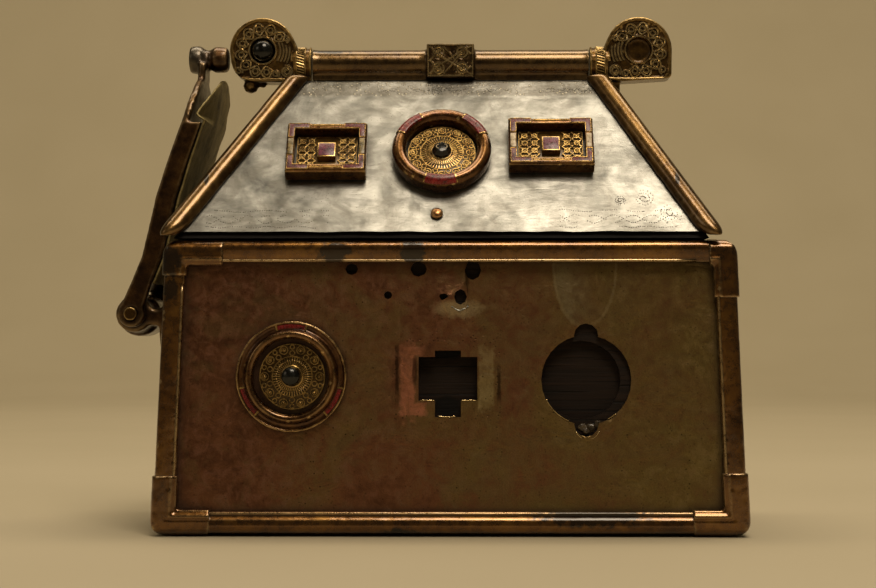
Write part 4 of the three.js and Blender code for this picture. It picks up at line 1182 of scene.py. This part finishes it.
def finial_carving(side):
    """Two plaited strands and small rings round the stud, inner arcs and corner spirals"""
    front = Matrix.Translation((side * FINIAL_X, -FINIAL_FLOOR, FINIAL_Z)) @ UPRIGHT
    runs = []
    mid = 4.2
    count = 9
    first, last = -0.64 * math.pi, 0.86 * math.pi
    for way in (-1, 1):
        line = []
        for i in range(count * 8 + 1):
            share = i / (count * 8)
            angle = first + (last - first) * share
            wave = math.pi * count * share
            radius = mid + way * 1.15 * math.sin(wave)
            line.append((side * radius * math.cos(angle), radius * math.sin(angle),
                         0.16 + 0.1 * way * math.cos(2 * wave)))
        runs.append((line, False))
    for i in range(count):
        angle = first + (last - first) * (i + 0.5) / count
        runs.append(circle(side * mid * math.cos(angle), mid * math.sin(angle), 0.16, 0.5, 10))
    for radius, start, reach in (
        (3.3, 0.84, 0.36), (3.9, 0.88, 0.3), (4.5, 0.92, 0.24), (5.1, 0.95, 0.2),
    ):
        line = []
        for i in range(13):
            angle = math.pi * (start + reach * i / 12)
            line.append((side * (radius * math.cos(angle) - 0.1), radius * math.sin(angle), 0.14))
        runs.append((line, False))
    runs.append(spiral(-side * 4.6, -4.0, 0.15, 0.25, 1.25, 2.2, 0.6, -side))
    runs.append(spiral(-side * 2.5, -4.5, 0.15, 0.2, 0.8, 1.5, 2.2, side))
    runs.append(spiral(-side * 4.5, 2.3, 0.15, 0.2, 0.75, 1.4, 1.0, side))
    runs.append(spiral(side * 4.6, -3.9, 0.15, 0.2, 0.8, 1.4, 2.0, side))
    name = "finial_right" if side > 0 else "finial_left"
    rim = wires([circle(0, 0, 0.42, 2.62, 36)], 0.2)
    carving = moved(joined([wires(runs, 0.22), rim]), front)
    finished(f"{name}_interlace", carving, RELIEF)


for side in (-1, 1):
    finial_blank(side)
    finial_carving(side)


def dome(radius, foot, height, steps=32, rings=8):
    profile = [(radius, foot), (radius, foot + 0.25 * height)]
    for i in range(1, rings + 1):
        angle = math.pi / 2 * i / rings
        profile.append((radius * math.cos(angle), foot + height * (0.25 + 0.75 * math.sin(angle))))
    profile[-1] = (0, foot + height)
    return turned([(0, foot)] + profile, steps)


stud_place = Matrix.Translation((-FINIAL_X, -1.3, FINIAL_Z)) @ UPRIGHT
finished(
    "finial_stud_glass", moved(dome(2.18, 0, 2.45), stud_place), GLASS,
    nodes=["finial_stud"], angle=60,
)


# Round mounts
def filigree(name, place, radius, units, stud):
    """A gilt disc with scrolls near its rim, rays and beads about the stud"""
    base = turned([(0, 0.3), (radius, 0.3), (radius, 0.95), (radius - 0.1, 1.0), (0, 1.0)], 64)
    finished(f"{name}_floor", moved(base, place), GILT_FLOOR, nodes=[name])
    runs = []
    spots = []
    outer = radius - 1.0
    for i in range(units):
        angle = 2 * math.pi * i / units
        way = 1 if i % 2 else -1
        u, v = around(angle)
        spots.append((outer * u, outer * v, 1.2))
        runs.append(circle(outer * u, outer * v, 1.12, 0.72, 14))
        runs.append(spiral(outer * u, outer * v, 1.14, 0.12, 0.5, 1.3, angle, way))
        u, v = around(angle + math.pi / units)
        runs.append(circle((outer + 0.35) * u, (outer + 0.35) * v, 1.1, 0.38, 10))
        runs.append(circle((outer - 0.75) * u, (outer - 0.75) * v, 1.1, 0.45, 10))
    collar, inner = 2.1, outer - 1.35
    runs.append(circle(0, 0, 1.12, inner, 48))
    runs.append(circle(0, 0, 1.1, radius - 0.12, 56))
    for i in range(44):
        angle = 2 * math.pi * i / 44
        u, v = around(angle)
        runs.append(([(collar * u, collar * v, 1.25), (inner * u, inner * v, 1.08)], False))
    ring, _ = circle(0, 0, 1.3, 0.5 * (collar + inner), 40)
    seat = turned([
        (0, 0.9), (collar, 0.9), (collar, 1.45), (collar - 0.15, 1.6), (stud + 0.02, 1.6),
        (stud - 0.1, 1.4), (0, 1.4),
    ], 40)
    parts = [wires(runs, 0.13), beads(ring, 0.2), beads(spots, 0.2), seat]
    finished(f"{name}_wires", moved(joined(parts), place), GILT, angle=50)


def round_ring(node, place, rounds):
    bm = true_round(remeshed(node_copy(node), 0.2), place, 24)
    cast(node, worn(smoothed(bm, rounds), 0.05, 4), RING_BRONZE)


round_ring("roof_ring", ROOF_MOUNT, 3)
filigree("roof_ring_panel", ROOF_MOUNT, 6.3, 12, 1.8)
stud = turned([(0, 1.75), (1.8, 1.75), (1.8, 2.1), (1.1, 2.85), (0, 3.0)], 8)
finished(
    "roof_ring_stud_glass", moved(stud, ROOF_MOUNT), GLASS,
    nodes=["roof_ring_stud"], angle=20,
)
hooks = [spiral(0.55 * way, 0, 2.92, 0.45, 0.45, 0.5, -1.57 * way) for way in (1, -1)]
finished("roof_ring_stud_inlay", moved(wires(hooks, 0.07), ROOF_MOUNT), PALE)

round_ring("box_ring", BOX_FRONT, 2)
filigree("box_ring_panel", BOX_FRONT @ Matrix.Translation((0.2, 0, 0)), 5.95, 10, 1.75)
finished(
    "box_ring_stud_glass", moved(dome(1.73, 1.75, 1.4, 28), BOX_FRONT), GLASS,
    nodes=["box_ring_stud"], angle=60,
)


def ring_enamels():
    """Red cells let into both rings, each between two bright ticks"""
    crown = [
        (7.15, 3.3), (7.3, 3.68), (8.0, 3.78), (8.7, 3.52), (9.12, 2.95), (9.0, 2.7), (8.0, 3.3),
    ]
    roof_starts, box_starts = (20, 120, 250), (74, 194, 314)
    cells = [moved(arc_patch(crown, start, 38, 14), ROOF_MOUNT) for start in roof_starts]
    band = [(8.7, 0.9), (9.4, 0.9), (9.4, 1.2), (8.7, 1.2)]
    cells += [moved(arc_patch(band, start, 32, 12), BOX_FRONT) for start in box_starts]
    finished("ring_enamel", joined(cells), RED, angle=35)
    ticks = []
    rail = [(x + 0.04, h + 0.06) for x, h in crown]
    for start in roof_starts:
        for edge in (start - 1.5, start + 38):
            ticks.append(moved(arc_patch(rail, edge, 1.5, 2), ROOF_MOUNT))
    post = [(8.6, 0.9), (9.6, 0.9), (9.6, 1.3), (8.6, 1.3)]
    for start in box_starts:
        for edge in (start - 2, start + 32):
            ticks.append(moved(arc_patch(post, edge, 2, 2), BOX_FRONT))
    finished("ring_ticks", joined(ticks), GILT, angle=35)


ring_enamels()


# Rectangular roof mounts
def rect_mount(side, x, up, length, width, cell_finish):
    """A cast frame with red angles at its corners, a cell at each end and a panel of wires"""
    place = SLOPE @ Matrix.Translation((x, up, 0))
    cast_copy(f"roof_{side}_frame", RING_BRONZE, 0.2, 3, 0.09, 2.5)
    outer_x, outer_y = length / 2 - 0.35, width / 2 - 0.35
    inner_x, inner_y = length / 2 - 1.6, width / 2 - 1.6
    legs_x, legs_y = 3.9, 3.3
    reds, brass, plain = [], [], []
    top = 3.3
    for u in (-1, 1):
        for v in (-1, 1):
            shape = [
                (outer_x - 0.1, outer_y - 0.1), (outer_x - legs_x, outer_y - 0.1),
                (outer_x - legs_x, inner_y + 0.15), (inner_x + 0.15, inner_y + 0.15),
                (inner_x + 0.15, outer_y - legs_y), (outer_x - 0.1, outer_y - legs_y),
            ]
            shape = [(u * a, v * b) for a, b in shape]
            reds.append(slab(shape, top - 0.25, top + 0.04, 0.08))
            brass.append(wires([([(a, b, top) for a, b in shape], True)], 0.12))
    for u in (-1, 1):
        half = outer_y - legs_y - 0.35
        a, b = u * (inner_x + 0.2), u * (outer_x - 0.05)
        outline = [(a, -half), (b, -half), (b, half), (a, half)]
        plain.append(slab(outline, top - 0.3, top + 0.03, 0.1))
    for v in (-1, 1):
        half = outer_x - legs_x - 0.35
        line = [(-half, v * (outer_y - 0.5), top), (half, v * (outer_y - 0.5), top)]
        brass.append(wires([(line, False)], 0.16))
    for group, finish, label, slot in (
        (reds, WINE, "enamel", "enamel"), (brass, GILT, "cell_walls", "gilt"),
        (plain, cell_finish, "end_cells", "enamel"),
    ):
        finished(f"roof_{side}_{label}", moved(joined(group), place), finish, angle=35)
    lattice(side, place, inner_x - 0.3, inner_y - 0.3)


def rectangle(half_x, half_y):
    return [(-half_x, -half_y), (half_x, -half_y), (half_x, half_y), (-half_x, half_y)]


def lattice(side, place, half_x, half_y):
    """Gilt floor with crossed wires and rings either side of a raised cell"""
    base = slab(rectangle(half_x, half_y), 0.3, 1.0, 0.05)
    finished(f"roof_{side}_panel_floor", moved(base, place), GILT_FLOOR,
             nodes=[f"roof_{side}_panel"])
    runs, spots = [], []
    columns, rows = 2, 4
    near, far = 2.1, half_x - 0.25
    for way in (-1, 1):
        for i in range(columns):
            for j in range(rows):
                x0 = near + (far - near) * i / columns
                x1 = near + (far - near) * (i + 1) / columns
                y0 = -half_y + 0.2 + (2 * half_y - 0.4) * j / rows
                y1 = -half_y + 0.2 + (2 * half_y - 0.4) * (j + 1) / rows
                runs.append(([(way * x0, y0, 1.15), (way * x1, y1, 1.15)], False))
                runs.append(([(way * x0, y1, 1.22), (way * x1, y0, 1.22)], False))
                runs.append(circle(way * (x0 + x1) / 2, (y0 + y1) / 2, 1.2, 0.5, 10))
                spots += [(way * x0, y0, 1.2), (way * x1, y1, 1.2)]
    runs.append(([(x, y, 1.1) for x, y in rectangle(half_x - 0.1, half_y - 0.1)], True))
    cell = slab(rectangle(1.7, 1.7), 0.9, 2.3, 0.12)
    parts = [wires(runs, 0.14), beads(spots, 0.17), cell]
    finished(f"roof_{side}_panel_wires", moved(joined(parts), place), GILT, angle=50)
    top = slab(rectangle(1.45, 1.45), 2.1, 2.38, 0.1)
    finished(f"roof_{side}_panel_cell", moved(top, place), PLUM, angle=35)


rect_mount("left", -22.8, 17.6, 15.0, 11.7, BRASS_CELL)
rect_mount("right", 18.7, 19.0, 15.8, 11.3, PALE)

nail = dome(1.12, 0.3, 0.78, 24, 6)
finished("roof_nail_head", moved(nail, ROOF_NAIL), COPPER, nodes=["roof_nail"], angle=60)

# Carrying arm and its bracket
cast_copy("arm_body", ARM_BRONZE, 0.36, 6, 0.08, 4, "carrying_arm")
cast_copy("arm_bracket", ARM_BRONZE, 0.4, 3, 0.08, 4)
cast_copy("arm_pin", CARVED_BRONZE, 0.2, 2, 0.05, 2)


def arm_backing():
    """Worn sheet behind the arm; its front edge curls towards the neck above the flank"""
    bm = worn(softened("arm_backing", 0.34, 1), 0.04, 3)
    for vert in bm.verts:
        above = vert.co.z - 76.3
        if above > 0:
            front = max(0.0, min(1.0, (-2 - vert.co.y) / 9))
            vert.co.x -= 2.2 * front * min(1.0, above / 1.2) * max(0.0, 1 - above / 8)
        vert.co.x += 0.25 * noise.noise(vert.co / 6) * min(1.0, max(0.0, (vert.co.z - 50) / 10))
    finished(
        "arm_backing_sheet", bm, BACKING, "carrying_arm", ["arm_backing"], angle=180
    )


arm_backing()
